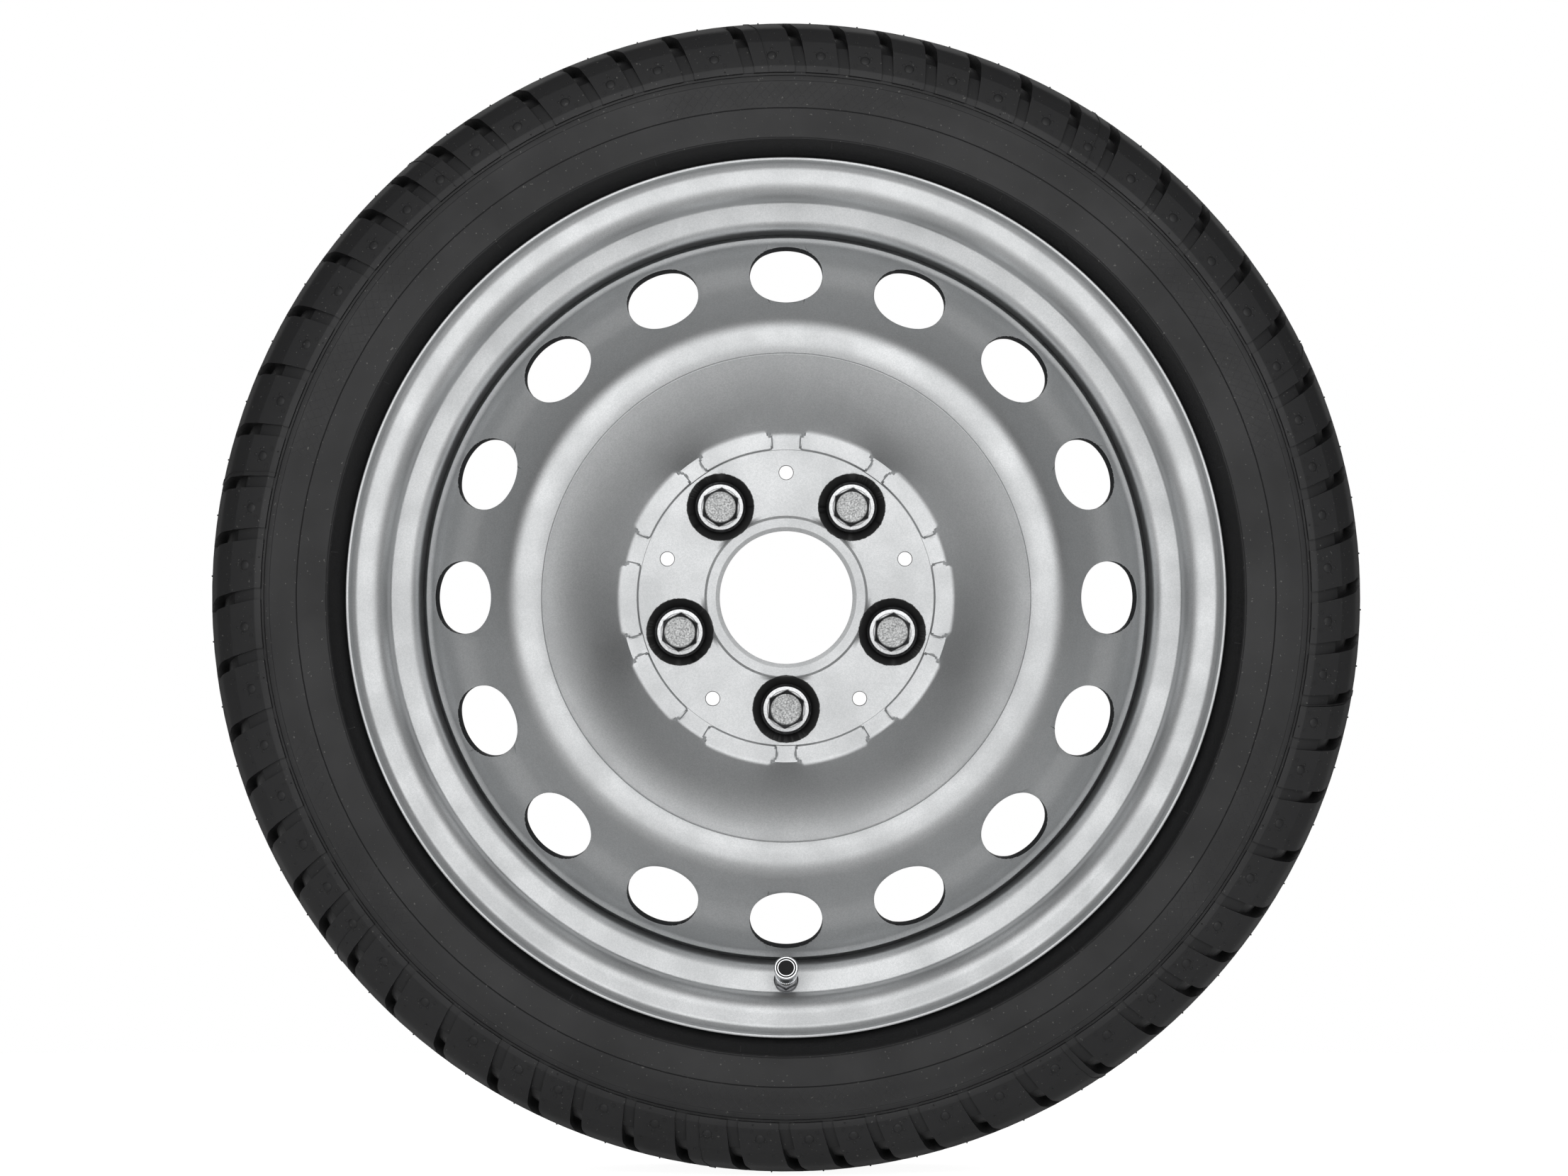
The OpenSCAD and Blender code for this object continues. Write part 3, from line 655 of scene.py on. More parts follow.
@dataclass(frozen=True)
class SidewallRubber(Finish):
    """Cured carbon-black tread rubber as the mould leaves it.

    Matt, with a faint sheen, a very fine sand grain from the blasted mould, pale dust
    specks, and a net of fine lines engraved on stretches of the upper sidewall.
    """

    dust: str = "#8d8c88"
    engraved: str = "#3a3a3b"
    net_low: float = 246.0
    net_high: float = 257.2
    net_count: float = 97.0
    net_size: float = 2.6

    def make(self) -> bpy.types.Material:
        """Make the rubber with its dust and its engraved net.

        Returns:
            The material.
        """
        material, tree, shader, place = self.start()
        spot = place.outputs["Object"]
        bloom = self.mottle(tree, spot, 38.0, 0.3, 0.7)
        base = self.mix(tree, bloom, srgb(self.colour), srgb(self.second))
        specks = self.mottle(tree, spot, 1.4, 0.735, 0.76, 1.0)
        base = self.tint(tree, specks, 0.35, base, self.dust)
        lines = self.net(tree, spot)
        base = self.tint(tree, lines, 0.5, base, self.engraved)
        tree.links.new(base, shader.inputs["Base Color"])
        self.vary_roughness(tree, shader, bloom)
        sand = add_node(
            tree, "TexNoise", {"Vector": spot, "Scale": per_mm(self.grain), "Detail": 3.0}
        )
        height = add_node(
            tree, "Math", {0: lines, 1: 2.5, 2: sand.outputs[0]}, operation="MULTIPLY_ADD"
        )
        self.raise_grain(tree, shader, height.outputs[0])
        return material

    def net(
        self, tree: bpy.types.NodeTree, spot: bpy.types.NodeSocket
    ) -> bpy.types.NodeSocket:
        """Draw the engraved net: crossed slanting lines about 5 mm apart on six stretches.

        Args:
            tree: The material's tree.
            spot: Object coordinates.

        Returns:
            1 on a line of the net and 0 elsewhere.
        """
        parts = add_node(tree, "SeparateXYZ", {0: spot}).outputs
        angle = add_node(
            tree, "Math", {0: parts[2], 1: parts[0]}, operation="ARCTAN2"
        ).outputs[0]
        flat = add_node(
            tree, "VectorMath", {0: spot, 1: (1.0, 0.0, 1.0)}, operation="MULTIPLY"
        ).outputs[0]
        radius = add_node(tree, "VectorMath", {0: flat}, operation="LENGTH").outputs["Value"]
        lines = None
        for lean in (1.0, -0.8):
            phase = add_node(
                tree,
                "Math",
                {0: radius, 1: lean * per_mm(self.net_size), 2: 0.0},
                operation="MULTIPLY_ADD",
            ).outputs[0]
            along = add_node(
                tree,
                "Math",
                {0: angle, 1: self.net_count, 2: phase},
                operation="MULTIPLY_ADD",
            ).outputs[0]
            wave = add_node(tree, "Math", {0: along, 1: 1.0}, operation="PINGPONG").outputs[0]
            line = add_node(tree, "MapRange", {0: wave, 1: 0.10, 2: 0.04}).outputs[0]
            if lines is None:
                lines = line
            else:
                lines = add_node(
                    tree, "Math", {0: lines, 1: line}, operation="MAXIMUM"
                ).outputs[0]
        # The band of the sidewall that the net fills, then stretches of 28 degrees, one a
        # sixth of the way round, and the street side alone
        low, high, fold_edge = self.net_low, self.net_high, math.radians(16)
        fold = add_node(
            tree, "Math", {0: angle, 1: math.radians(30)}, operation="PINGPONG"
        ).outputs[0]
        gates = [
            add_node(tree, "MapRange", {0: radius, 1: low * MM, 2: (low + 0.2) * MM}),
            add_node(tree, "MapRange", {0: radius, 1: high * MM, 2: (high - 0.2) * MM}),
            add_node(tree, "MapRange", {0: fold, 1: fold_edge, 2: math.radians(16.2)}),
            add_node(tree, "Math", {0: parts[1], 1: 0.0}, operation="LESS_THAN"),
        ]
        for gate in gates:
            lines = add_node(
                tree, "Math", {0: lines, 1: gate.outputs[0]}, operation="MULTIPLY"
            ).outputs[0]
        return lines


PAINT = WheelPaint(
    "silver_wheel_enamel",
    "#d3d4d5",
    "#c3c5c6",
    roughness=0.52,
    metallic=1.0,
    grain=0.45,
    bump=0.012,
    coat=0.1,
    coat_roughness=0.25,
    spread=0.03,
)
RUBBER = SidewallRubber(
    "moulded_tyre_rubber", "#262627", "#222223", roughness=0.62, grain=0.5, bump=0.03
)
# Painted shade in the grooves, on their deep faces and walls, and a darker band at the bead: darker
# rubber, also smoother and shinier than the sidewall
GROOVE_SHADE_RUBBER = Finish(
    "groove_shade_rubber", "#131314", "#1a1a1b", roughness=0.42, grain=0.9, bump=0.03, gloss=0.4
)
# Zinc flake on a forged bolt: light grey, kept on the faces that look along the bolt; the steep
# faces take the painted shade below
BOLT_ZINC = Finish(
    "zinc_flake_forged_steel", "#d6d7d8", "#bfc0c1", roughness=0.38, metallic=1.0, grain=0.9,
    bump=0.01,
)
# The end of the head, worn by sockets and road grit down to dull steel with dark pits
BOLT_END = Finish(
    "worn_forged_steel", "#bdbebe", "#7b7c7c", roughness=0.46, metallic=1.0, grain=0.8,
    bump=0.03, spread=0.08,
)
# Painted shade: a dark copy of the bolt's zinc on the head's flanks and chamfer and on the ball's
# steep side
BOLT_FLANK_SHADE = Finish(
    "shaded_forged_steel", "#4c4c4d", "#323233", roughness=0.4, metallic=1.0, grain=1.2,
    spread=0.08,
)
# Painted shade on the walls of the vents and small holes, which turn away from the lamps: a dark
# grey in place of the silver
SHADED_HOLE_WALL = Finish(
    "painted_shade_hole_wall", "#3a3b3d", "#2c2d2e", roughness=0.55, metallic=0.3, grain=0.8,
    bump=0.01, gloss=0.2,
)
# Electroplated zinc on the small turned parts: an even, slightly blue satin
SCREW_ZINC = Finish(
    "zinc_plated_steel", "#8b8c8e", "#77787a", roughness=0.34, metallic=1.0, grain=1.2,
    bump=0.008,
)
# Nickel over turned brass: a warm pale shine with faint tool marks
BRASS = Finish(
    "nickel_plated_brass", "#b3ad9c", "#a59f8f", roughness=0.28, metallic=1.0, grain=1.6,
    bump=0.006,
)
# Bare brass straight off the lathe: yellow, with a fine shine
CORE_BRASS = Finish(
    "turned_brass", "#c2a25e", "#b39452", roughness=0.26, metallic=1.0, grain=0.8, bump=0.004
)
# Bright chromium over brass: sharp cold reflections
CHROME = Finish(
    "chromed_brass", "#dcdee0", "#d2d4d6", roughness=0.1, metallic=1.0, grain=3.0, bump=0.001,
    spread=0.03,
)
# Lacquer filled into the cap's recess: black with a soft gloss
LACQUER = Finish(
    "black_lacquer", "#0b0b0c", "#101011", roughness=0.3, grain=2.0, bump=0.002, gloss=0.15
)
# Hard drawn spring wire: grey, with fine lines from the die
SPRING = Finish(
    "hard_drawn_spring_steel", "#a6a7a9", "#8f9092", roughness=0.25, metallic=1.0, grain=0.3,
    bump=0.002,
)
# Moulded nitrile rubber: black and quite matt
SEAL = Finish(
    "moulded_seal_rubber", "#1c1c1d", "#232324", roughness=0.7, grain=0.4, bump=0.01
)
# Weld metal under the wheel's paint: silver, with scale and heat grain
WELD = Finish(
    "painted_weld_metal", "#c3c5c6", "#9fa1a3", roughness=0.5, metallic=0.75, grain=0.9,
    bump=0.06, spread=0.06,
)


class Body(Enum):
    """The bodies that pieces ride on."""

    WHEEL = "wheel"
    PIN = "core_pin"
    SEAL = "cap_seal"
    CAP = "cap"


class Slot(Enum):
    """The record's material slots."""

    TYRE = "tyre_rubber"
    PAINT = "silver_paint"
    WELD = "weld_metal"
    ZINC = "zinc_steel"
    BRASS = "plated_brass"
    SPRING = "spring_steel"
    SEAL = "seal_rubber"
    CHROME = "chrome"
    LACQUER = "black_lacquer"


def dress(
    obj: bpy.types.Object,
    finishes: Sequence[bpy.types.Material],
    body: Body,
    replaced: Sequence[str] = (),
) -> None:
    """Give a piece its materials and its place in the frame.

    Args:
        obj: The piece.
        finishes: Its materials, in the order of its slots.
        body: The body that it rides on.
        replaced: The CAD nodes that it stands for.
    """
    for i, material in enumerate(finishes):
        if i < len(obj.data.materials):
            obj.data.materials[i] = material
        else:
            obj.data.materials.append(material)
    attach(obj, body.value)
    if replaced:
        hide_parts(*replaced)
    log.info("%s: %d faces, rides on %s", obj.name, len(obj.data.polygons), body.value)


# ---------------------------------------------------------------- tyre


@dataclass
class Tyre:
    """The tyre: one skin with pitched shoulder grooves, and the marks of its mould."""

    crown: float = 290.0
    crown_bend: float = 1100.0
    depth: float = 7.5
    groove_width: float = 6.0
    inner_turn: float = 3.0
    short: float = 4.72
    middle: float = 5.63
    long: float = 6.55
    groove_at: float = 274.0
    sipe_width: float = 0.8
    toe: float = 67.3
    curl_centre: Point = (210.6, 92.05)
    curl_radius: float = 9.75
    face_foot: Point = (265.9, 94.55)
    face_top: Point = (278.2, 87.9)
    face_tilt: float = 28.3
    leans: tuple[Point, ...] = ((50.7, 2.6), (66, 1.9), (80.9, 1.05), (87.9, 0.6), (95.0, 0.0))
    order: str = "MMSMLLLMLSMMSSSSMLMSMMSSSMLLLMMLLLMMMSSMLLSSMMMMSSSMLLLMSMLLMSMM"
    seams: tuple[float, ...] = (348.3, 301.4, 260.5, 216.9, 166.3, 128.8, 91.9, 55.4, 23.9)
    outline: list[Point] = field(default_factory=list)

    def crown_at(self, z: float) -> float:
        """Radius of the tread's surface at a distance from its middle."""
        return self.crown - z * z / (2 * self.crown_bend)

    def ring_groove(self, z: float, width: float) -> list[Corner]:
        """The four corners of a groove round the tread."""
        half, floor = width / 2, self.crown_at(z) - self.depth
        return [
            (self.crown_at(z - half), z - half, 0),
            (floor, z - half + 0.8, 0),
            (floor, z + half - 0.8, 0),
            (self.crown_at(z + half), z + half, 0),
        ]

    def street_outside(self) -> list[Point]:
        """Outline of the street half's outside.

        Returns:
            Points from the middle of the tread to the toe of the bead.
        """
        curl = []
        for degrees in range(62, -16, -11):
            a = math.radians(degrees)
            r = self.curl_centre[0] + self.curl_radius * math.sin(a)
            curl.append((r, self.curl_centre[1] - self.curl_radius * math.cos(a), 0))
        corners: list[Corner] = [
            (self.crown, 0, 0),
            *self.ring_groove(17, 9),
            (self.crown_at(32), 32, 0),
            *self.ring_groove(47, 7.5),
            (self.crown_at(58), 58, 0),
            (self.crown_at(66), 66, 10),
            (self.crown_at(66) - 3.2, 80.9, 10),
            (*self.face_top, 2.2),
            (*self.face_foot, 1.5),
            (262.6, 94.9, 0.3),
            (262.15, 93.5, 0),
            (261.15, 93.5, 0),
            (260.75, 95.5, 0.3),
            (258.4, 96.1, 0.3),
            (258.0, 95.75, 0.2),
            (246.1, 97.75, 40),
            (230.2, 95.75, 0.4),
            (229.4, 96.4, 0.3),
            (228.7, 95.3, 0.4),
            (221.3, 89.85, 2),
            *curl,
            (203.05, 82.3, 6.25),
            (201.72, self.toe, 0),
        ]
        points = spaced(rounded(corners, 20.0), 7.0)
        return self.scored(points, 244.6, 0.35, 0.35)

    def scored(self, points: list[Point], radius: float, half: float, depth: float) -> list[Point]:
        """Score a fine line round the sidewall.

        Args:
            points: The outline, with falling radius on the sidewall.
            radius: Where the line is.
            half: Half its width.
            depth: Its depth.

        Returns:
            The outline with the line in it.
        """
        out: list[Point] = []
        for a, b in zip(points, points[1:]):
            out.append(a)
            if a[0] > radius >= b[0] and a[1] > 90:
                for r, d in ((radius + half, 0.0), (radius, depth), (radius - half, 0.0)):
                    out.append((r, a[1] + (b[1] - a[1]) * (a[0] - r) / (a[0] - b[0]) - d))

        def uncrowded(p: Point) -> bool:
            """A point of the line, or one that stands clear of it."""
            off = abs(p[0] - radius)
            return off < half + 0.01 or off > half + 0.3 or p[1] < 90

        return [out[0], *(p for p in [*out[1:], points[-1]] if uncrowded(p))]

    @property
    def street_inside(self) -> list[Point]:
        """Outline of the street half's inside, from the toe to the middle of the tread."""
        corners: list[Corner] = [
            (201.72, self.toe, 0),
            (204.8, 66.9, 1.5),
            (216.1, 68.8, 12),
            (238.1, 87.0, 16),
            (256.1, 88.5, 22),
            (272.0, 78.5, 12),
            (273.5, 0, 0),
        ]
        return spaced(rounded(corners, 15.0), 16.0)[1:]

    def lean(self, r: float, z: float) -> float:
        """Angle in degrees by which the pattern is turned at a point of the outside."""
        edge, most = self.leans[0]
        if abs(z) < edge:
            return most + self.inner_turn * (edge - z) / (2 * edge)
        return blend_between(abs(z), self.leans) + (self.inner_turn if z < 0 else 0.0)

    def pitches(self) -> list[Point]:
        """Cut the tread's circumference into its pitches.

        Returns:
            The start and the length of each pitch, in degrees.
        """
        lengths = [{"S": self.short, "M": self.middle, "L": self.long}[c] for c in self.order]
        scale = 360.0 / sum(lengths)
        out, at = [], 0.0
        for length in lengths:
            out.append((at, length * scale))
            at += length * scale
        return out

    def build(self) -> bpy.types.Object:
        """Model the tyre.

        Returns:
            The tyre, with the grooves in its second material slot.
        """
        outside = self.street_outside()
        inside = self.street_inside
        self.outline = outside
        far = [(r, -z) for r, z in reversed(outside)]
        far_in = [(r, -z) for r, z in reversed(inside)]
        loop = [*far, *outside[1:], *inside, *far_in[1:]]
        half = math.degrees(self.groove_width / 2 / self.groove_at)
        places = []
        for i, (r, z) in enumerate(loop):
            on_skin = i < len(far) + len(outside) - 1
            within = self.inner_turn * (self.toe - z) / (2 * self.toe)
            turn = self.lean(r, z) if on_skin else within
            places.append(on_axle(r, z, turn - half))
        turns: dict[float, list[Matrix]] = {}
        for start, length in self.pitches():
            turns.setdefault(round(length, 6), []).append(turn_matrix(start))
        parts = []
        for length, where in turns.items():
            parts += copies(self.pitch(places, length, half), where, "pitch")
        obj = joined("tyre_carcass", parts)
        edit(obj)
        close_shell(obj)
        self.part_rubbers(obj)
        soften(obj, 34)
        return obj

    def pitch(self, places: Sequence[Vector], length: float, half: float) -> bpy.types.Object:
        """Model one pitch of the tyre: a block with the groove before it.

        Args:
            places: The tyre's whole section at the pitch's start.
            length: The pitch's length, in degrees.
            half: Half a groove's angle, in degrees.

        Returns:
            The pitch, open at both ends.
        """
        sipe = math.degrees(self.sipe_width / self.crown)
        rest = (length - 2 * half - sipe) / 2
        obj = start_line("pitch", [*places, places[0]])
        bpy.ops.mesh.select_all(action="SELECT")
        for degrees, steps in ((2 * half, 2), (rest, 1), (sipe, 1), (rest, 1)):
            spin(degrees, steps)
        close_shell(obj)
        middle = half + length / 2
        shoulder = (
            (50.75, 6.6, 0.0),
            (66, 6.4, 0.0),
            (80.9, 4.8, 0.8),
            (87.9, 2.2, 1.6),
            (91.0, 0.6, 1.5),
            (95.0, 0.0, 1.35),
        )

        def on_shoulder(at: float, z: float, r: float) -> bool:
            """In the groove that crosses the shoulder and runs down the sidewall."""
            return at < 2 * half and abs(z) > 50.0 and r > 262.2

        def on_rib(at: float, z: float, _: float) -> bool:
            """In the short notch that carries the groove on into the next rib."""
            return at < 2 * half and 32.0 < abs(z) < 43.2

        def on_sipe(at: float, z: float, _: float) -> bool:
            """In the fine slit across the middle of the block's rib."""
            return abs(at - middle) < sipe / 2 and 21.6 < abs(z) < 43.2

        self.sink(obj, half, shoulder, on_shoulder, 50.3)
        self.sink(obj, half, ((32.0, 5.0, 0.0), (43.25, 6.0, 0.0)), on_rib, 0)
        self.sink(obj, half, ((21.5, 5.0, 0.0), (43.25, 5.0, 0.0)), on_sipe, 0)
        return obj

    def skin_at(self, z: float) -> float:
        """Radius of the outer skin at a height."""
        side = blend_between(
            abs(z), ((66, 288.02), (80.9, 284.8), (87.9, 278.2), (95, 262.4))
        )
        return self.crown_at(z) if abs(z) < 66 else side

    def sink(
        self,
        obj: bpy.types.Object,
        half: float,
        depths: Sequence[Corner],
        wanted: Callable[[float, float, float], bool],
        keep: float,
    ) -> None:
        """Sink faces of a pitch's skin into the rubber, with upright walls.

        Args:
            obj: The pitch.
            half: Half a groove's angle, in degrees.
            depths: Distance from the tread's middle, with the floor's depth and side shift.
            wanted: Takes a face's angle in the pitch, height and radius.
            keep: Vertices nearer the tread's middle than this stay where they are.
        """

        def chosen(face: bmesh.types.BMFace) -> bool:
            """A face of the outer skin that is wanted."""
            c = face.calc_center_median()
            r, z = math.hypot(c.x, c.z) / MM, -c.y / MM
            at = math.degrees(math.atan2(c.z, c.x)) - self.lean(r, z) + half
            return r > self.skin_at(z) - 5.0 and wanted(at, z, r)

        edit(obj)
        choose(obj, "FACE", chosen)
        bpy.ops.mesh.extrude_region_move()
        mesh = bmesh.from_edit_mesh(obj.data)
        rings: dict[tuple[float, float], list[int]] = {}
        for v in mesh.verts:
            if v.select:
                r, z = math.hypot(v.co.x, v.co.z) / MM, -v.co.y / MM
                rings.setdefault((round(r * 20) / 20, round(z * 20) / 20), []).append(v.index)
        for (r, z), members in rings.items():
            if (r < 262.4 and abs(z) < 94.5) or abs(z) < keep:
                continue
            down = blend_between(abs(z), [(a, b) for a, b, _ in depths])
            side = blend_between(abs(z), [(a, c) for a, _, c in depths])
            goal = self.skin_at(z) - down if abs(z) < 60 else r - down
            inside = set(members)
            choose(obj, "VERT", lambda v: v.index in inside)
            scale = min(1.0, goal / r)
            size = (scale, 1 - side / abs(z), scale)
            bpy.ops.transform.resize(value=size, center_override=(0, 0, 0))
        clear()

    def part_rubbers(self, obj: bpy.types.Object) -> None:
        """Give the deep faces and walls of the grooves, and the band at the bead, the second
        material, which paints shade in the grooves.
        """
        obj.data.materials.append(None)
        obj.data.materials.append(None)
        for face in obj.data.polygons:
            r, z = math.hypot(face.center.x, face.center.z) / MM, -face.center.y / MM
            front = blend_between(r, ((262.6, 94.9), self.face_foot, self.face_top))
            skin = self.skin_at(z)
            groove = skin - 12 < r < skin - 1.0 and abs(z) < 88 and r > self.groove_at
            tangent = face.normal.z * face.center.x - face.normal.x * face.center.z
            in_front = 262.7 < r < 279 and front - 8 < abs(z) < front - 0.3
            groove |= in_front and abs(tangent / (r * MM)) > 0.5
            bead = r < 227.5 and abs(z) > 82
            face.material_index = int(groove or bead)

    def on_block(self, angle: float, r: float, z: float, tilt: float) -> Matrix:
        """Place on the upper sidewall: the local Z axis stands out of the rubber.

        Args:
            angle: Angle round the wheel in degrees, anticlockwise.
            r: Radius.
            z: Height of the surface, negative on the inner side.
            tilt: Lean of the surface away from the axis, in degrees.

        Returns:
            The matrix that takes a mark from the origin to its place.
        """
        a = math.radians(angle)
        out = Vector((math.cos(a), 0, math.sin(a)))
        side = Vector((0, -math.copysign(1, z), 0))
        up = (side * math.cos(math.radians(tilt)) + out * math.sin(math.radians(tilt))).normalized()
        across = out.cross(side).normalized()
        turn = Matrix((across, up.cross(across), up)).transposed().to_4x4()
        return Matrix.Translation(on_axle(r, z, angle)) @ turn

    def button(
        self, name: str, radius: float, height: float, stations: int
    ) -> bpy.types.Object:
        """A low round button with a soft edge, its foot sunk in the rubber."""
        outline = [
            (0, height),
            (radius * 0.55, height * 0.86),
            (radius * 0.85, height * 0.5),
            (radius, 0.0),
            (radius, -0.4),
            (0, -0.4),
        ]
        return turned_up(name, outline, stations)

    def ring(self, name: str, radius: float, stations: int) -> bpy.types.Object:
        """A fine raised ring, as an ejector pin leaves."""
        outline = [
            (radius - 0.22, -0.2),
            (radius - 0.15, 0.12),
            (radius + 0.15, 0.12),
            (radius + 0.22, -0.2),
            (radius - 0.22, -0.2),
        ]
        return turned_up(name, outline, stations)

    def block_face(self, r: float) -> float:
        """Height of the blocks' slanting face at a radius."""
        (foot_r, foot_z), (top_r, top_z) = self.face_foot, self.face_top
        return foot_z - (r - foot_r) * (foot_z - top_z) / (top_r - foot_r)

    def block_marks(self) -> bpy.types.Object:
        """Model the button, the three small buttons and the rings on every block.

        Returns:
            All the marks as one piece.
        """
        # Degrees off the block's middle, radius, size, height, and button or bare ring
        layout = (
            (0.0, 271.0, 2.5, 0.75, True),
            (0.0, 274.6, 0.75, 0.4, True),
            (0.62, 272.4, 0.7, 0.4, True),
            (-0.62, 272.6, 0.7, 0.4, True),
            (0.9, 268.0, 1.0, 0.0, False),
            (-1.0, 267.6, 0.9, 0.0, False),
        )
        marks = []
        for k, (off, r, size, height, solid) in enumerate(layout):
            places = []
            for side in (1, -1):
                z = side * (self.block_face(r) - 0.03)
                for start, length in self.pitches():
                    middle = start + length / 2 + (self.inner_turn if side < 0 else 0.0) + 0.3
                    places.append(self.on_block(middle + off, r, z, self.face_tilt))
            if solid:
                pattern = self.button("mark", size, height, 14 if k == 0 else 8)
            else:
                pattern = self.ring("mark", size, 10)
            marks += copies(pattern, places, "mark")
        obj = joined("tyre_block_buttons", marks)
        soften(obj, 50)
        return obj

    def vent_stubs(self) -> bpy.types.Object:
        """Model the trimmed rubber stubs that the mould's air vents leave.

        Returns:
            All the stubs as one piece.
        """
        spots = []
        for i, (start, length) in enumerate(self.pitches()):
            for dx in (0.28, 0.72):
                spots.append(self.on_block(start + dx * length + 0.5, 279.6, 86.5, 55))
            spots.append(self.on_block(start + 0.5 * length + 1.6, 288.2, 63.0, 88))
            if i % 2:
                spots.append(self.on_block(start + 0.4 * length, 264.0, 94.7, 0))
        for angle in (343.6, 300.0, 258.0, 202.0, 160.0, 117.8, 77.6, 27.0):
            spots.append(self.on_block(angle, 243.4, 96.8, 0))
        pattern = self.button("stub", 0.45, 0.55, 8)
        obj = joined("tyre_vent_stubs", copies(pattern, spots, "stub"))
        soften(obj, 50)
        return obj

    def mould_lines(self) -> bpy.types.Object:
        """Model the fine ridges where the mould's parts meet, and the radial ticks.

        Returns:
            All the ridges as one piece.
        """
        made = []
        chosen = [p for p in self.outline if 262.6 <= p[0] <= 289 and p[1] > 51]
        for angle in self.seams:
            made.append(self.ridge(chosen, angle, 0.3, 0.14))
        tick_out = [(260.5, 95.6), (258.5, 96.1)]
        tick_in = [(228.4, 95.1), (225.2, 92.75)]
        for i in range(16):
            made.append(self.ridge(tick_out, 16.8 + 22.5 * i, 0.4, 0.25))
            made.append(self.ridge(tick_in, 16.8 + 22.5 * i, 0.5, 0.35))
        obj = joined("tyre_mould_lines", made)
        soften(obj, 50)
        return obj

    def ridge(
        self, line: Sequence[Point], angle: float, width: float, height: float
    ) -> bpy.types.Object:
        """Model one fine ridge that follows an outline.

        Args:
            line: Points of the outline, with falling radius.
            angle: Where it is, in degrees.
            width: Its width.
            height: Its height above the rubber.

        Returns:
            The closed ridge.
        """
        above = beside(line, lambda r, z: -height)
        below = beside(line, lambda r, z: 0.3)
        loop = [*above, *reversed(below)]
        places = []
        for r, z in [*loop, loop[0]]:
            places.append(on_axle(r, z, angle + (self.lean(r, z) if r > 262 else 0.0)))
        obj = start_line("ridge", places)
        bpy.ops.mesh.select_all(action="SELECT")
        bpy.ops.mesh.remove_doubles(threshold=STACK_GAP)
        bpy.ops.mesh.edge_face_add()
        bpy.ops.mesh.select_all(action="SELECT")
        bpy.ops.mesh.extrude_region_move()
        bpy.ops.transform.rotate(
            value=-width / line[0][0], orient_axis="Y", center_override=(0, 0, 0)
        )
        close_shell(obj)
        return obj


# ---------------------------------------------------------------- rim and disc


@dataclass
class Rim:
    """The rolled rim: flanges, bead seats, humps and drop well from one sheet."""

    half_width: float = 82.55
    sheet: float = 2.8
    lip: float = 1.6
    stations: int = 320
    edge: float = 95.55

    def sheet_at(self, _: float, z: float) -> float:
        """The sheet's thickness at a height: thinner in the rolled lip."""
        return blend_between(abs(z), ((84.0, self.sheet), (95.0, self.lip)))

    def side(self) -> list[Corner]:
        """Corners of one flange, bead seat and hump on the tyre's side."""
        return [
            (220.0, self.edge, 0),
            (220.1, self.half_width, 6.3),
            (202.8, self.half_width, 6.5),
            (201.444, 67.05, 6),
            (202.119, 61.05, 4.2),
        ]

    def build(self) -> bpy.types.Object:
        """Model the rim.

        Returns:
            The rim with its rolled flange edges.
        """
        side = self.side()
        corners = [
            *side,
            (187.2, 58.9, 3.5),
            (185.5, 43.0, 6),
            (185.67, 4.0, 12),
            (196.92, -12.0, 12),
            (200.57, -57.05, 4),
            *[(r, -z, b) for r, z, b in reversed(side)],
        ]
        tyre_side = spaced(rounded(corners, 8.0), 9.0)
        air_side = beside(tyre_side, self.sheet_at)
        obj = turned("rolled_rim", [*tyre_side, *reversed(air_side)], self.stations)

        def on_lip(edge: bmesh.types.BMEdge) -> bool:
            """A sharp edge at the end of either lip."""
            at_end = all(abs(v.co.y) > (self.edge - 0.15) * MM for v in edge.verts)
            return at_end and len(edge.link_faces) == 2 and edge.calc_face_angle() > 1.0

        edit(obj)
        choose(obj, "EDGE", on_lip)
        bpy.ops.mesh.bevel(offset=0.5 * MM, segments=3, affect="EDGES", clamp_overlap=False)
        clear()
        soften(obj, 35)
        return obj


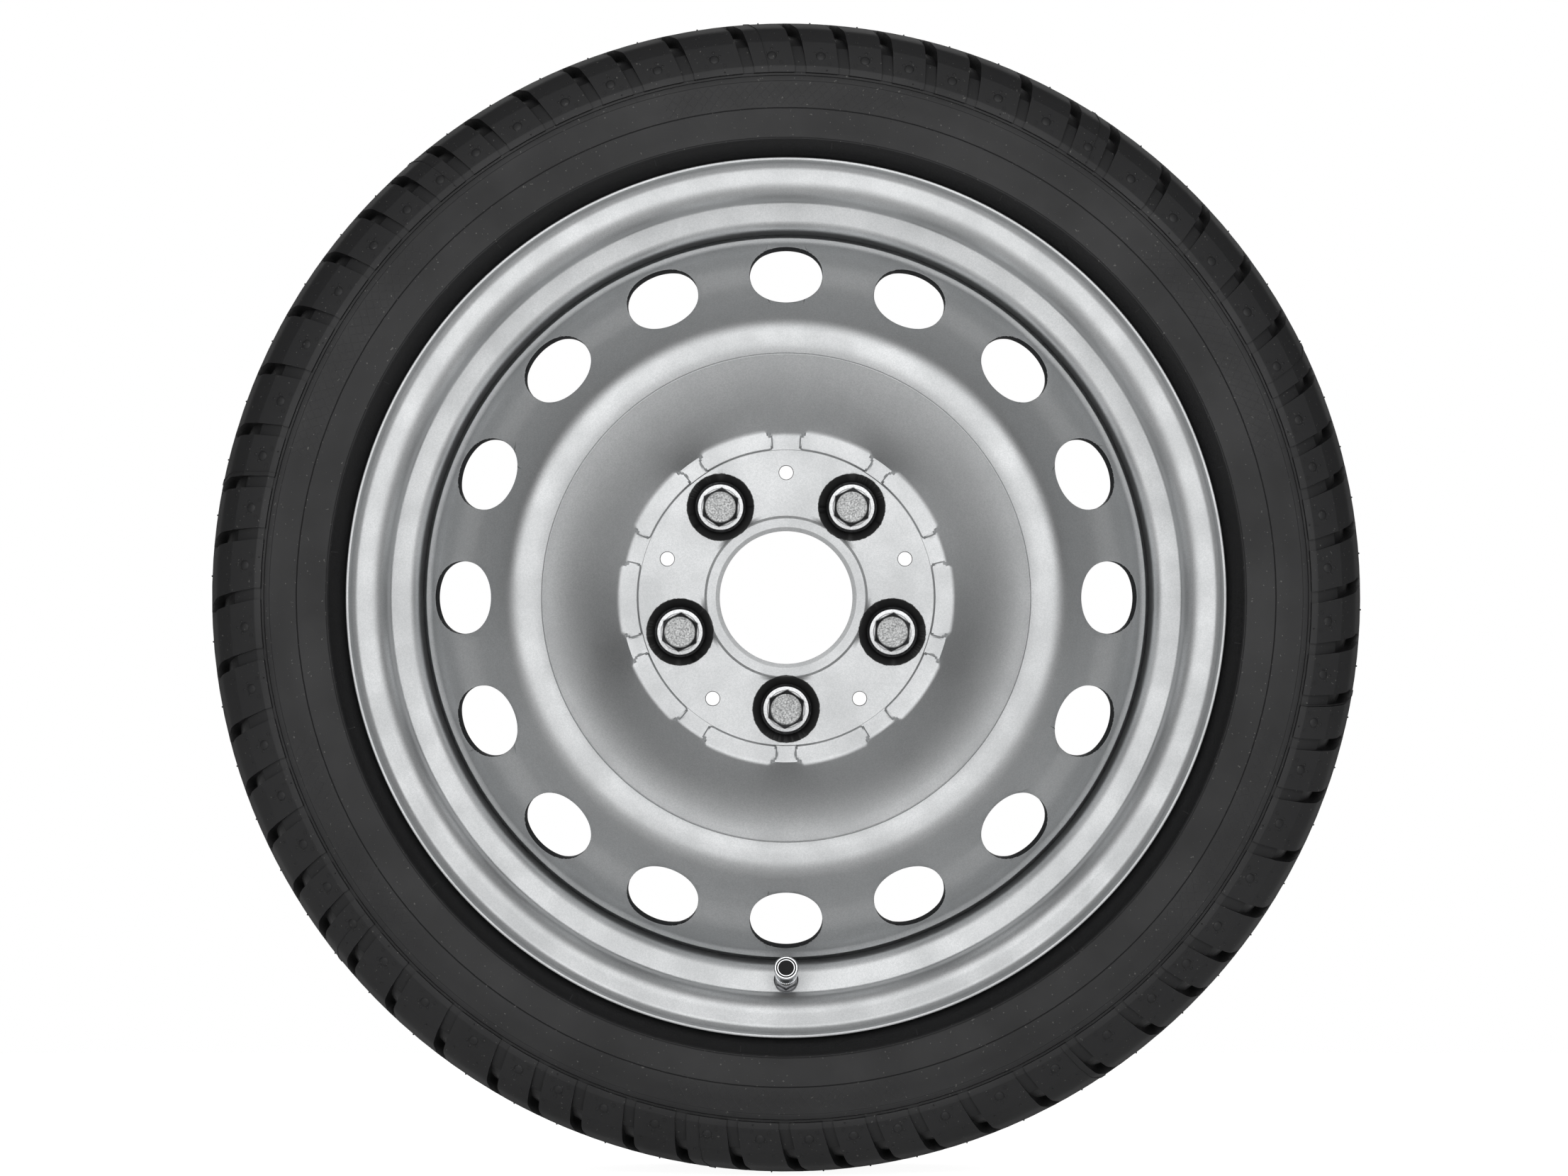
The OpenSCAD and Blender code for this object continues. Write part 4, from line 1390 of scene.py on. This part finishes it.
@dataclass
class Disc:
    """The pressed disc: pad, lands, bowl, crest, vented face and flange."""

    offset: float = 60.0
    pad: float = 66.0
    land: float = 67.8
    land_start: float = 74.2
    bowl_start: float = 84.2
    bowl_slope: float = 41.0
    vents: int = 16
    vent_radius: float = 18.2
    vent_circle: float = 162.0
    vent_height: float = 72.85
    vent_slope: float = 37.0
    bolts: int = 5
    bolt_circle: float = 56.0
    first_bolt: float = -90.0
    ball: float = 14.0
    ball_height: float = 72.889
    pin_circle: float = 62.7
    pin_radius: float = 3.5
    lands: int = 10
    narrow_gap: float = 9.5
    wide_gap: float = 13.9
    gap_corner: float = 2.2
    profile: list[Point] = field(default_factory=list)

    def front(self) -> list[Point]:
        """Outline of the street side, from the bore to the end of the flange."""
        corners: list[Corner] = [
            (33.3, 63.9, 0),
            (33.3, 64.16, 0),
            (35.4, 65, 0.5),
            (39.8, 65, 0.5),
            (41.0, 66, 0.6),
            (72.6, 66, 0),
            (74.2, 66, 0.45),
            (74.85, 67.8, 0.45),
            (84.2, 67.8, 4),
            (107.6, 88.14, 80),
            (121.45, 93.18, 0),
            (121.95, 92.98, 0),
            (122.45, 93.5, 0),
            (126, 94.53, 20),
            (137.3, 94.53, 13),
            (150.0, 82.2, 22),
            (156.5, 76.6, 24),
            (168.0, 69.9, 24),
            (174.0, 64.4, 8),
            (178.2, 58.4, 4),
            (180.9, 57.2, 1.0),
            (181.0, 46.0, 2),
            (182.7, 42.0, 2),
            (182.7, 24.4, 0),
        ]
        coarse = rounded(corners, 7.0)
        fine = []
        for a, b in zip(coarse, coarse[1:]):
            # Close stations where the gaps are pressed, wide ones on the flat pad
            near_land = a[0] > 72.5 and b[0] < 90.5
            gap = 1.2 if near_land else (33 if b[0] < 73 else 5.5)
            fine += spaced([a, b], gap)[:-1]
        return [*fine, coarse[-1]]

    def web_at(self, r: float, _: float) -> float:
        """The sheet's thickness at a radius: thinner towards the vents."""
        return blend_between(r, ((84, 5.0), (120, 4.9), (128, 4.4), (138, 4.0), (151, 3.6)))

    def outline(self) -> list[Point]:
        """The whole closed outline: street side out, back side in."""
        front = self.front()
        web = [p for p in front if p[0] > 92]
        back = [*reversed(beside(web, self.web_at))]
        hub: list[Corner] = [
            (back[-1][0], back[-1][1], 0),
            (83.0, self.offset, 9),
            (68.5, self.offset, 0),
            (67.7, self.offset + 0.8, 0),
            (45.8, self.offset + 0.8, 0),
            (45.0, self.offset, 0),
            (33.3, self.offset, 0),
        ]
        return [*front, (182.3, 24.0), (179.5, 24.0), *back[1:-1], *rounded(hub, 8.0)]

    def gap_depth(self, x: float, z_up: float, radius: float) -> float:
        """Depth of the gaps between the lands below the lands' own surface.

        Args:
            x: Horizontal place on the disc.
            z_up: Vertical place on the disc.
            radius: Distance from the axis.

        Returns:
            How far the sheet is pressed back there.
        """
        if not self.land_start - 0.3 < radius < 88:
            return 0.0
        step = 360 / self.lands
        angle = math.degrees(math.atan2(z_up, x)) - self.first_bolt
        cell = round(angle / step)
        off = radius * math.sin(math.radians(angle - cell * step))
        width = self.wide_gap if cell % 2 else self.narrow_gap
        floor = self.pad + (0.15 if cell % 2 else 0.4)
        # The gap flares where it runs out into the bowl, and its inner corners are round
        half = width / 2 + 3.4 * smooth(radius, 79.5, 84.5)
        corner, inner = self.gap_corner, radius - self.land_start
        if inner < corner:
            half += corner - math.sqrt(max(0.0, corner**2 - (corner - max(0.0, inner)) ** 2))
        share = 1 - smooth(abs(off), half - 0.45, half + 0.55)
        if share <= 0:
            return 0.0
        ground = max(floor, self.pad + self.wall(radius))
        return max(0.0, blend_between(radius, self.profile) - ground) * share

    def wall(self, radius: float) -> float:
        """Height of the bowl's wall above the pad, carried down in a straight line."""
        rise = math.tan(math.radians(self.bowl_slope))
        return (self.land - self.pad) + (radius - self.bowl_start) * rise

    def build(self) -> bpy.types.Object:
        """Model the disc.

        Returns:
            The disc with its lands, vents, bolt seats and holes.
        """
        outline = self.outline()
        self.profile = [p for p in self.front() if 73 < p[0] < 92]
        section = [on_axle(r, z, self.first_bolt) for r, z in [*outline, outline[0]]]
        obj = start_line("pressed_disc", section)
        bpy.ops.mesh.select_all(action="SELECT")
        for _ in range(2):
            for degrees, steps in ((2.4, 3), (6.0, 12), (19.2, 10), (6.0, 12), (2.4, 3)):
                spin(degrees, steps)
        close_shell(obj)
        self.press_gaps(obj)
        turns = [turn_matrix(360 / self.bolts * i) for i in range(self.bolts)]
        obj = joined("pressed_disc", copies(obj, turns, "fifth"))
        edit(obj)
        close_shell(obj)
        self.punch(obj)
        soften(obj, 24)
        return obj

    def press_gaps(self, obj: bpy.types.Object) -> None:
        """Press the gaps between the lands back into the sheet."""
        group = obj.vertex_groups.new(name="land_gaps")
        deepest = self.land - self.pad
        for v in obj.data.vertices:
            r = math.hypot(v.co.x, v.co.z) / MM
            if 73 < r < 92 and -v.co.y / MM > self.pad - 0.1:
                depth = self.gap_depth(v.co.x / MM, v.co.z / MM, r)
                if depth > 0:
                    group.add([v.index], depth / deepest, "REPLACE")
        apply_modifier(
            obj,
            "DISPLACE",
            direction="Y",
            strength=deepest * MM,
            mid_level=0.0,
            vertex_group="land_gaps",
        )

    def vent_places(self) -> list[Matrix]:
        """The middle of each vent, with the local Z axis square to the sloping face."""
        places = []
        lean = math.radians(self.vent_slope)
        for i in range(self.vents):
            a = 360 / self.vents * i
            axis = turn_matrix(a) @ Vector((math.sin(lean), -math.cos(lean), 0))
            middle = on_axle(self.vent_circle, self.vent_height, a)
            places.append(Matrix.Translation(middle) @ facing(axis))
        return places

    def round_the_pad(self, circle: float, first: float) -> list[Matrix]:
        """Five places on a circle of the pad, with the local Z axis to the street."""
        step = 360 / self.bolts
        return [
            Matrix.Translation(on_axle(circle, 0, first + step * i)) @ facing(AXLE)
            for i in range(self.bolts)
        ]

    def punch(self, obj: bpy.types.Object) -> None:
        """Punch the vents, press the ball seats and drill the five small holes."""
        places, half_way = self.vent_places(), self.first_bolt + 180 / self.bolts
        seats = self.round_the_pad(self.bolt_circle, self.first_bolt)
        pins = self.round_the_pad(self.pin_circle, half_way)
        r = self.vent_radius
        punch = turned_up("punch", [(0, 12), (r, 12), (r, -12), (0, -12)], 96)
        tools = copies(punch, places, "punch")
        ball = []
        for degrees in (34.85, 38.0, 42.0, 46.76):
            a = math.radians(degrees)
            ball.append((self.ball * math.sin(a), self.ball_height - self.ball * math.cos(a)))
        mouth = [(16.6, 66), (17.1, 67), (0, 67)]
        seat = turned_up("seat", [(0, 58), (8, 58), *ball, *mouth], 72)
        tools += copies(seat, seats, "seat")
        r = self.pin_radius
        drill = [(0, 58), (r, 58), (r, 65.75), (r + 0.4, 66.1), (r + 0.4, 67), (0, 67)]
        tools += copies(turned_up("pin", drill, 36), pins, "pin")
        cut(obj, joined("press_tools", tools))
        axes = [(p.translation, (p.to_3x3() @ Vector((0, 0, 1))).normalized()) for p in places]
        near = 24 * MM

        def nearest_vent(degrees: float) -> tuple[Vector, Vector]:
            """Middle and axis of the vent next to an angle."""
            return axes[round(degrees / 360 * self.vents) % self.vents]

        def on_rim(v: bmesh.types.BMVert) -> bool:
            """A vertex on the edge of a vent."""
            centre, axis = nearest_vent(math.degrees(math.atan2(v.co.z, v.co.x)))
            gap = v.co - centre
            across = (gap - axis * gap.dot(axis)).length
            return gap.length < near and abs(across - self.vent_radius * MM) < 0.06 * MM

        def on_vent_edge(edge: bmesh.types.BMEdge) -> bool:
            """A sharp edge all round a vent."""
            sharp = len(edge.link_faces) == 2 and edge.calc_face_angle() > 0.9
            return sharp and all(on_rim(v) for v in edge.verts)

        edit(obj)
        choose(obj, "VERT", on_rim)
        bpy.ops.mesh.remove_doubles(threshold=0.3 * MM)
        log.info("vent edges: %d", choose(obj, "EDGE", on_vent_edge))
        bpy.ops.mesh.bevel(offset=0.4 * MM, segments=2, affect="EDGES", clamp_overlap=False)
        clear()
        # The walls of the vents and pin holes take the second material, which paints shade on them
        obj.data.materials.append(None)
        obj.data.materials.append(None)
        step = 360 / self.bolts
        for face in obj.data.polygons:
            turn = math.degrees(math.atan2(face.center.z, face.center.x))
            on_pad = math.hypot(face.center.x, face.center.z) / MM < 70
            if on_pad:
                centre, axis = pins[round((turn - half_way) / step) % self.bolts].translation, AXLE
                wall = self.pin_radius + 0.35
            else:
                centre, axis = nearest_vent(turn)
                wall = self.vent_radius + 0.05
            gap = face.center - centre
            inside = (gap - axis * gap.dot(axis)).length / MM < wall
            upright = abs(face.normal.dot(axis)) < 0.8
            face.material_index = int(inside and upright and (on_pad or gap.length < near))


@dataclass
class Welds:
    """Eight seams that hold the disc's flange in the well, seen from the back."""

    count: int = 8
    ripples: int = 26
    sweep: float = 26.0
    leg: float = 3.4
    radius: float = 182.55
    edge: float = 23.97

    def build(self) -> bpy.types.Object:
        """Model the seams with the ripples of the weld pool.

        Returns:
            All the seams as one piece.
        """
        r, z, leg = self.radius, self.edge, self.leg * 0.98
        arc = []
        for degrees in (0, 22, 45, 68, 90):
            a = math.radians(degrees)
            arc.append((r - leg * math.cos(a), z - leg * math.sin(a)))
        loop = [(r, z), *arc, (r, z)]
        steps = 3 * self.ripples
        obj = start_line("seam", [on_axle(a, b, -self.sweep / 2) for a, b in loop])
        bpy.ops.mesh.select_all(action="SELECT")
        bpy.ops.mesh.remove_doubles(threshold=STACK_GAP)
        bpy.ops.mesh.edge_face_add()
        bpy.ops.mesh.select_all(action="SELECT")
        spin(self.sweep, steps)
        bpy.ops.mesh.select_all(action="SELECT")
        bpy.ops.mesh.remove_doubles(threshold=STACK_GAP)
        pitch = self.sweep / steps

        def station(v: bmesh.types.BMVert) -> int:
            """Number of the step that a vertex is on."""
            return round((math.degrees(math.atan2(v.co.z, v.co.x)) + self.sweep / 2) / pitch)

        def on_pool(v: bmesh.types.BMVert) -> bool:
            """A vertex in the hollow between two ripples of the pool."""
            off_wall = math.hypot(v.co.x, v.co.z) / MM < r - 0.5 and -v.co.y / MM < z - 0.5
            return off_wall and station(v) % 3 == 0

        # The hollows lie 0.35 mm deeper, towards the disc's edge and the well's wall
        choose(obj, "VERT", on_pool)
        bpy.ops.transform.translate(value=(0, -0.35 * MM, 0))
        bpy.ops.transform.resize(value=(1.0018, 1, 1.0018), center_override=(0, 0, 0))
        close_shell(obj)
        places = [turn_matrix(360 / self.count * i) for i in range(self.count)]
        obj = joined("arc_weld_seams", copies(obj, places, "seam"))
        soften(obj, 40)
        return obj


# ---------------------------------------------------------------- bolts


@dataclass
class Bolts:
    """Five ball-seat wheel bolts."""

    count: int = 5
    circle: float = 56.0
    first: float = -90.0
    ball_height: float = 72.889
    ball: float = 13.97
    collar: float = 12.65
    collar_top: float = 69.39
    across: float = 17.0
    head: float = 12.5
    shank: float = 7.0
    tip: float = 33.76
    thread: float = 1.5
    head_turn: float = -4.0

    def build(self) -> list[bpy.types.Object]:
        """Model one bolt and copy it to the five seats.

        Returns:
            The five bolts, in the order of the CAD nodes.
        """
        body = self.forged_body()
        head = self.hexagon()
        cut(body, head, "UNION")
        for _ in range(3):
            body.data.materials.append(None)
        # The second material goes on the worn end of the head; the third, a dark copy of the zinc,
        # paints shade on the steep flanks, the chamfer and the ball's side
        for face in body.data.polygons:
            if face.center.z > (self.collar_top + self.head - 0.4) * MM and face.normal.z > 0.8:
                face.material_index = 1
            elif face.center.z > (self.collar_top + 0.5) * MM:
                face.material_index = 2
            elif math.hypot(face.center.x, face.center.y) > 11.3 * MM and face.normal.z < 0.97:
                face.material_index = 2
        soften(body, 30)
        places = []
        for i in range(self.count):
            seat = on_axle(self.circle, 0, self.first + 360 / self.count * i)
            places.append(Matrix.Translation(seat) @ facing(AXLE))
        return copies(body, places, "ball_seat_bolt")

    def forged_body(self) -> bpy.types.Object:
        """Turn the threaded shank, the ball and the collar.

        Returns:
            The body, its axis on Z.
        """
        thread: list[Point] = []
        z = self.tip + 1.6
        while z < self.tip + 20:
            thread += [(self.shank - 0.95, z), (self.shank, z + 0.66), (self.shank, z + 0.84)]
            z += self.thread
        low = math.asin(self.shank / self.ball)
        high = math.asin(self.collar / self.ball)
        arc = [
            (self.ball * math.sin(a), self.ball_height - self.ball * math.cos(a))
            for a in (low + (high - low) * k / 8 for k in range(9))
        ]
        top = self.collar_top
        rim = rounded(
            [
                (*arc[-1], 0),
                (self.collar, top - 1.0, 0.3),
                (self.collar - 1.3, top, 0.5),
                (9.6, top, 0.4),
                (9.2, top + 0.3, 0.3),
                (7.0, top + 0.3, 0),
            ],
            20,
        )
        tip = [(0, self.tip), (self.shank - 1.5, self.tip)]
        neck = (self.shank - 0.6, z + 0.4)
        return turned_up("bolt", [*tip, *thread, neck, *arc, *rim[1:], (0, top + 0.3)], 64)

    def hexagon(self) -> bpy.types.Object:
        """Forge the hexagon: a prism whose corners are turned off by a cone.

        Returns:
            The head, its axis on Z.
        """
        top = self.collar_top + self.head
        clear()
        corner = self.across / 2 / math.cos(math.pi / 6)
        bpy.ops.mesh.primitive_cone_add(
            vertices=6,
            radius1=(corner + 0.35) * MM,
            radius2=(corner - 0.15) * MM,
            depth=(self.head + 1.4) * MM,
            location=(0, 0, (top - (self.head - 1.4) / 2 - 0.7) * MM),
            rotation=(0, 0, math.radians(self.head_turn)),
        )
        head = bpy.context.object
        bpy.ops.object.transform_apply(location=True, rotation=True, scale=True)
        edit(head)
        choose(head, "EDGE", lambda e: abs(e.verts[0].co.z - e.verts[1].co.z) > 5 * MM)
        bpy.ops.mesh.bevel(offset=0.5 * MM, segments=3, affect="EDGES")
        clear()
        a = self.across
        cone = rounded(
            [
                (0, top - 16, 0),
                (a * 0.7, top - 16, 0),
                (a * 0.7, top - 5.2, 0),
                (7.75, top - 0.2, 0.3),
                (7.2, top, 0.3),
                (6.6, top - 0.1, 0.5),
                (0, top - 0.1, 0),
            ],
            15,
        )
        cut(head, turned_up("cone", cone, 96), "INTERSECT")
        return head


# ---------------------------------------------------------------- valve


@dataclass
class Valve:
    """The clamp-in valve: stem, nut, washer and the cap on its thread."""

    foot: Vector = field(default_factory=lambda: Vector((0, -61.007, -192.4)))
    axis: Vector = field(default_factory=lambda: Vector((0, -0.956305, 0.292372)))
    stem: float = 3.85
    stem_top: float = 22.6
    stem_foot: float = -5.66
    hole: float = 3.88
    cap_from: float = 12.6
    cap_top: float = 24.6
    cap_radius: float = 6.15
    ribs: int = 40
    pitch: float = 0.794
    thread_turns: int = 25

    def place(self) -> Matrix:
        """From the origin, upright on Z, to the valve's place in the wheel."""
        across = Vector((1, 0, 0))
        turn = Matrix((across, self.axis.cross(across), self.axis)).transposed().to_4x4()
        return Matrix.Translation(self.foot * MM) @ turn

    def stand(self, obj: bpy.types.Object) -> bpy.types.Object:
        """Move a part from the origin to the valve's place."""
        pick(obj)
        obj.matrix_world = self.place()
        bpy.ops.object.transform_apply(location=True, rotation=True, scale=True)
        return obj

    def threaded_stem(self) -> bpy.types.Object:
        """Turn the stem and roll its thread.

        Returns:
            The stem in place.
        """
        root = self.stem - 0.42
        bottom = self.stem_foot
        outline = rounded(
            [
                (1.5, bottom - 2, 0),
                (5.1, bottom - 2, 0),
                (5.7, bottom - 1.4, 0.2),
                (5.7, bottom, 0),
                (self.stem, bottom, 0),
                (self.stem, 0.7, 0),
                (root, 1.1, 0),
                (root, self.stem_top - 0.5, 0),
                (root - 0.4, self.stem_top, 0.2),
                (2.63, self.stem_top, 0),
                (2.63, 17.3, 0),
                (2.35, 17.0, 0),
                (2.35, 7.0, 0),
                (1.5, 6.2, 0),
                (1.5, bottom - 2, 0),
            ],
            20,
        )
        body = turned_up("threaded_valve_stem", outline, 64)
        height = self.pitch
        flank = (
            (root - 0.05, 1.1),
            (self.stem, 1.1 + height * 0.42),
            (self.stem, 1.1 + height * 0.55),
            (root - 0.05, 1.1 + height * 0.97),
        )
        thread = start_line("thread", [Vector((r, 0, z)) * MM for r, z in flank])
        clear()
        apply_modifier(
            thread,
            "SCREW",
            axis="Z",
            angle=math.tau,
            screw_offset=height * MM,
            iterations=self.thread_turns,
            steps=36,
            render_steps=36,
            use_merge_vertices=False,
        )
        edit(thread)
        close_shell(thread)
        obj = joined("threaded_valve_stem", [body, thread])
        soften(obj, 35)
        return self.stand(obj)

    def knurled_cap(self) -> bpy.types.Object:
        """Turn the cap and press its axial ribs.

        Returns:
            The cap in place.
        """
        low, top, r = self.cap_from, self.cap_top, self.cap_radius
        grip = r - 0.4
        outline = rounded(
            [
                (3.93, low, 0),
                (r - 0.95, low, 0.3),
                (r - 0.82, low + 1.3, 0),
                (grip, low + 1.6, 0),
                (grip, top - 2.0, 0),
                (r - 0.25, top - 1.75, 0.15),
                (r, top - 1.45, 0.3),
                (r, top - 0.45, 0.45),
                (r - 0.5, top, 0.3),
                (5.05, top, 0.12),
                (5.0, top - 0.5, 0),
                (0, top - 0.5, 0),
                (0, top - 1.2, 0),
                (3.93, top - 1.2, 0),
                (3.93, low, 0),
            ],
            18,
        )
        count = self.ribs * 4
        obj = turned_up("knurled_valve_cap", outline, count)

        def in_rib_gap(face: bmesh.types.BMFace) -> bool:
            """A face of the hollow between two ribs."""
            c = face.calc_center_median()
            on_band = (low + 1.7) * MM < c.z < (top - 2.1) * MM
            if not on_band or math.hypot(c.x, c.y) < (grip - 0.1) * MM:
                return False
            turn = math.degrees(math.atan2(c.y, c.x)) % 360
            return int(turn / (360 / count)) % 4 in (0, 1)

        edit(obj)
        choose(obj, "FACE", in_rib_gap)
        bpy.ops.mesh.inset(thickness=0.06 * MM, use_individual=False)
        bpy.ops.transform.resize(value=(0.945, 0.945, 1), center_override=(0, 0, 0))
        clear()
        soften(obj, 28)
        return self.stand(obj)

    def flanged_nut(self) -> bpy.types.Object:
        """Make the hexagon nut with its flange.

        Returns:
            The nut in place.
        """
        low, flange, height, across = 1.01, 1.3, 4.2, 10.0
        top = low + flange + height
        tall = flange + height - 0.2
        clear()
        bpy.ops.mesh.primitive_cylinder_add(
            vertices=6,
            radius=across / 2 / math.cos(math.pi / 6) * MM,
            depth=tall * MM,
            location=(0, 0, (low + 0.1 + tall / 2) * MM),
        )
        nut = bpy.context.object
        nut.name = nut.data.name = "flanged_valve_nut"
        bpy.ops.object.transform_apply(location=True, rotation=True, scale=True)
        cone = turned_up("cone", [(0, low), (7, low), (7, top - 1.3), (4.7, top), (0, top)], 72)
        cut(nut, cone, "INTERSECT")
        skirt = rounded(
            [
                (0, low, 0),
                (6.2, low, 0.2),
                (6.2, low + 0.9, 0.3),
                (5.3, low + flange, 0.2),
                (0, low + flange, 0),
            ],
            20,
        )
        cut(nut, turned_up("flange", skirt, 72), "UNION")
        hole = [(0, low - 1), (self.hole, low - 1), (self.hole, top + 1), (0, top + 1)]
        cut(nut, turned_up("hole", hole, 48))
        soften(nut, 30)
        return self.stand(nut)

    def round_washer(self) -> bpy.types.Object:
        """Stamp the washer under the nut.

        Returns:
            The washer in place.
        """
        hole, low, top, edge = self.hole, 0.08, 0.98, 6.5
        outline = rounded(
            [(hole, low, 0), (edge, low, 0.15), (edge, top, 0.3), (hole, top, 0), (hole, low, 0)],
            20,
        )
        obj = turned_up("stamped_valve_washer", outline, 72)
        soften(obj, 35)
        return self.stand(obj)


# ---------------------------------------------------------------- stage


@dataclass
class Studio:
    """White room, camera and lamps."""

    pixel: float = 0.3540
    width: int = 2212
    distance: float = 6000.0
    face: float = 95.55
    right: float = 3.0
    down: float = 13.5
    ground: float = -290.0
    sensor: float = 36.0

    def camera(self) -> None:
        """Set up the camera square to the wheel's street side."""
        data = bpy.data.cameras.new("camera")
        data.sensor_width = self.sensor
        data.lens = self.sensor * self.distance / (self.pixel * self.width)
        camera = bpy.data.objects.new("camera", data)
        bpy.context.scene.collection.objects.link(camera)
        across, up = -self.right * self.pixel, self.down * self.pixel
        camera.location = Vector((across, -self.distance - self.face, up)) * MM
        camera.rotation_euler = (math.pi / 2, 0, 0)
        data.clip_end = 100
        bpy.context.scene.camera = camera

    def lamps(self) -> None:
        """Hang a broad soft lamp before the wheel, a faint one over it and one behind it."""
        for name, place, size, power in (
            ("front_lamp", Vector((0, -3.0, 0.3)), 4.6, 99.0),
            ("top_lamp", Vector((0, -0.6, 2.6)), 2.4, 2.0),
            ("back_lamp", Vector((0, 3.2, 0.8)), 3.0, 22.0),
        ):
            data = bpy.data.lights.new(name, "AREA")
            data.shape = "DISK"
            data.size = size
            data.energy = power
            lamp = bpy.data.objects.new(name, data)
            bpy.context.scene.collection.objects.link(lamp)
            lamp.location = place
            lamp.rotation_euler = (-place).to_track_quat("-Z", "Y").to_euler()

    def seen(self, tree: bpy.types.NodeTree, path: bpy.types.Node) -> bpy.types.NodeSocket:
        """Find the rays that show the background itself: the camera's, and those in glass."""
        straight, through = path.outputs["Is Camera Ray"], path.outputs["Is Transmission Ray"]
        return add_node(tree, "Math", {0: straight, 1: through}, operation="MAXIMUM").outputs[0]

    def room(self) -> None:
        """Make the white world, dim to the paint and a little brighter from behind."""
        world = bpy.data.worlds.new("white_room")
        bpy.context.scene.world = world
        world.use_nodes = True
        tree = world.node_tree
        tree.nodes.clear()
        path = add_node(tree, "LightPath")
        place = add_node(tree, "TexCoord")
        parts = add_node(tree, "SeparateXYZ", {0: place.outputs["Generated"]})
        behind = add_node(
            tree, "MapRange", {0: parts.outputs[1], 1: 0.2, 2: 0.95, 3: 0.07, 4: 0.3}
        )
        mirrored = path.outputs["Is Glossy Ray"]
        glossy = add_node(tree, "MapRange", {0: mirrored, 3: 0.1, 4: behind.outputs[0]})
        seen = self.seen(tree, path)
        level = add_node(tree, "MapRange", {0: seen, 3: glossy.outputs[0], 4: 1.0})
        sky = add_node(tree, "Background", {"Color": (1, 1, 1, 1), "Strength": level.outputs[0]})
        add_node(tree, "OutputWorld", {"Surface": sky.outputs[0]})

    def floor(self) -> None:
        """Lay the white floor, which keeps the wheel's shadow."""
        clear()
        bpy.ops.mesh.primitive_plane_add(size=3.0, location=(0, 0, self.ground * MM))
        obj = bpy.context.object
        obj.name = obj.data.name = "floor"
        bpy.ops.object.transform_apply(location=True)
        material = bpy.data.materials.new("white_floor_paint")
        material.use_nodes = True
        tree = material.node_tree
        tree.nodes.clear()
        path = add_node(tree, "LightPath")
        mirrored = path.outputs["Is Glossy Ray"]
        shine = add_node(tree, "Math", {0: mirrored, 1: 0.2}, operation="MULTIPLY")
        seen = add_node(
            tree, "Math", {0: self.seen(tree, path), 1: shine.outputs[0]}, operation="MAXIMUM"
        )
        level = add_node(tree, "Math", {0: seen.outputs[0], 1: 0.94}, operation="MULTIPLY")
        glow = add_node(tree, "Emission", {"Strength": level.outputs[0]})
        matt = add_node(tree, "BsdfDiffuse", {"Color": srgb("#f2f2f2")})
        both = add_node(tree, "AddShader", {0: glow.outputs[0], 1: matt.outputs[0]})
        add_node(tree, "OutputMaterial", {"Surface": both.outputs[0]})
        obj.data.materials.append(material)


# ---------------------------------------------------------------- all of it


def dress_cad(finishes: dict[str, Finish]) -> None:
    """Give the CAD nodes that stay their finishes.

    Args:
        finishes: The finish of each node that is kept.
    """
    made: dict[str, bpy.types.Material] = {}
    for node, finish in finishes.items():
        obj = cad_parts[node]
        material = made.setdefault(finish.name, finish.make())
        for i in range(len(obj.data.materials)):
            obj.data.materials[i] = material
        if not obj.data.materials:
            obj.data.materials.append(material)
        log.info("%s keeps its CAD mesh in %s", node, finish.name)


def main() -> None:
    """Build the wheel in order, then the studio, logging each piece's face count."""
    logging.basicConfig(level=logging.INFO, format="%(name)s %(relativeCreated)6d ms  %(message)s")
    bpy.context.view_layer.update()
    paint, small_zinc = PAINT.make(), SCREW_ZINC.make()
    zinc, worn, flank = BOLT_ZINC.make(), BOLT_END.make(), BOLT_FLANK_SHADE.make()
    rubber, groove = RUBBER.make(), GROOVE_SHADE_RUBBER.make()

    tyre = Tyre()
    dress(tyre.build(), [rubber, groove], Body.WHEEL, ["tyre"])
    for extra in (tyre.block_marks(), tyre.vent_stubs(), tyre.mould_lines()):
        dress(extra, [rubber], Body.WHEEL)
    dress(Rim().build(), [paint], Body.WHEEL, ["rim"])
    dress(Disc().build(), [paint, SHADED_HOLE_WALL.make()], Body.WHEEL, ["wheel_disc"])
    dress(Welds().build(), [WELD.make()], Body.WHEEL, ["weld_seams"])
    for i, bolt in enumerate(Bolts().build(), 1):
        dress(bolt, [zinc, worn, flank], Body.WHEEL, [f"wheel_bolt_{i}"])
    valve = Valve()
    dress(valve.threaded_stem(), [BRASS.make()], Body.WHEEL, ["valve_stem"])
    dress(valve.flanged_nut(), [small_zinc], Body.WHEEL, ["valve_nut"])
    dress(valve.round_washer(), [small_zinc], Body.WHEEL, ["valve_washer"])
    dress(valve.knurled_cap(), [CHROME.make()], Body.CAP, ["valve_cap"])
    dress_cad(
        {
            "valve_grommet": SEAL,
            "core_housing": CORE_BRASS,
            "core_barrel_seal": SEAL,
            "core_spring": SPRING,
            "core_pin": CORE_BRASS,
            "core_pin_seal": SEAL,
            "cap_seal": SEAL,
            "cap_inlay": LACQUER,
            "cap_ring": CHROME,
        }
    )
    clear()

    studio = Studio()
    studio.camera()
    studio.lamps()
    studio.room()
    studio.floor()
    bpy.context.scene.view_settings.view_transform = "Standard"


if __name__ == "__main__":
    main()
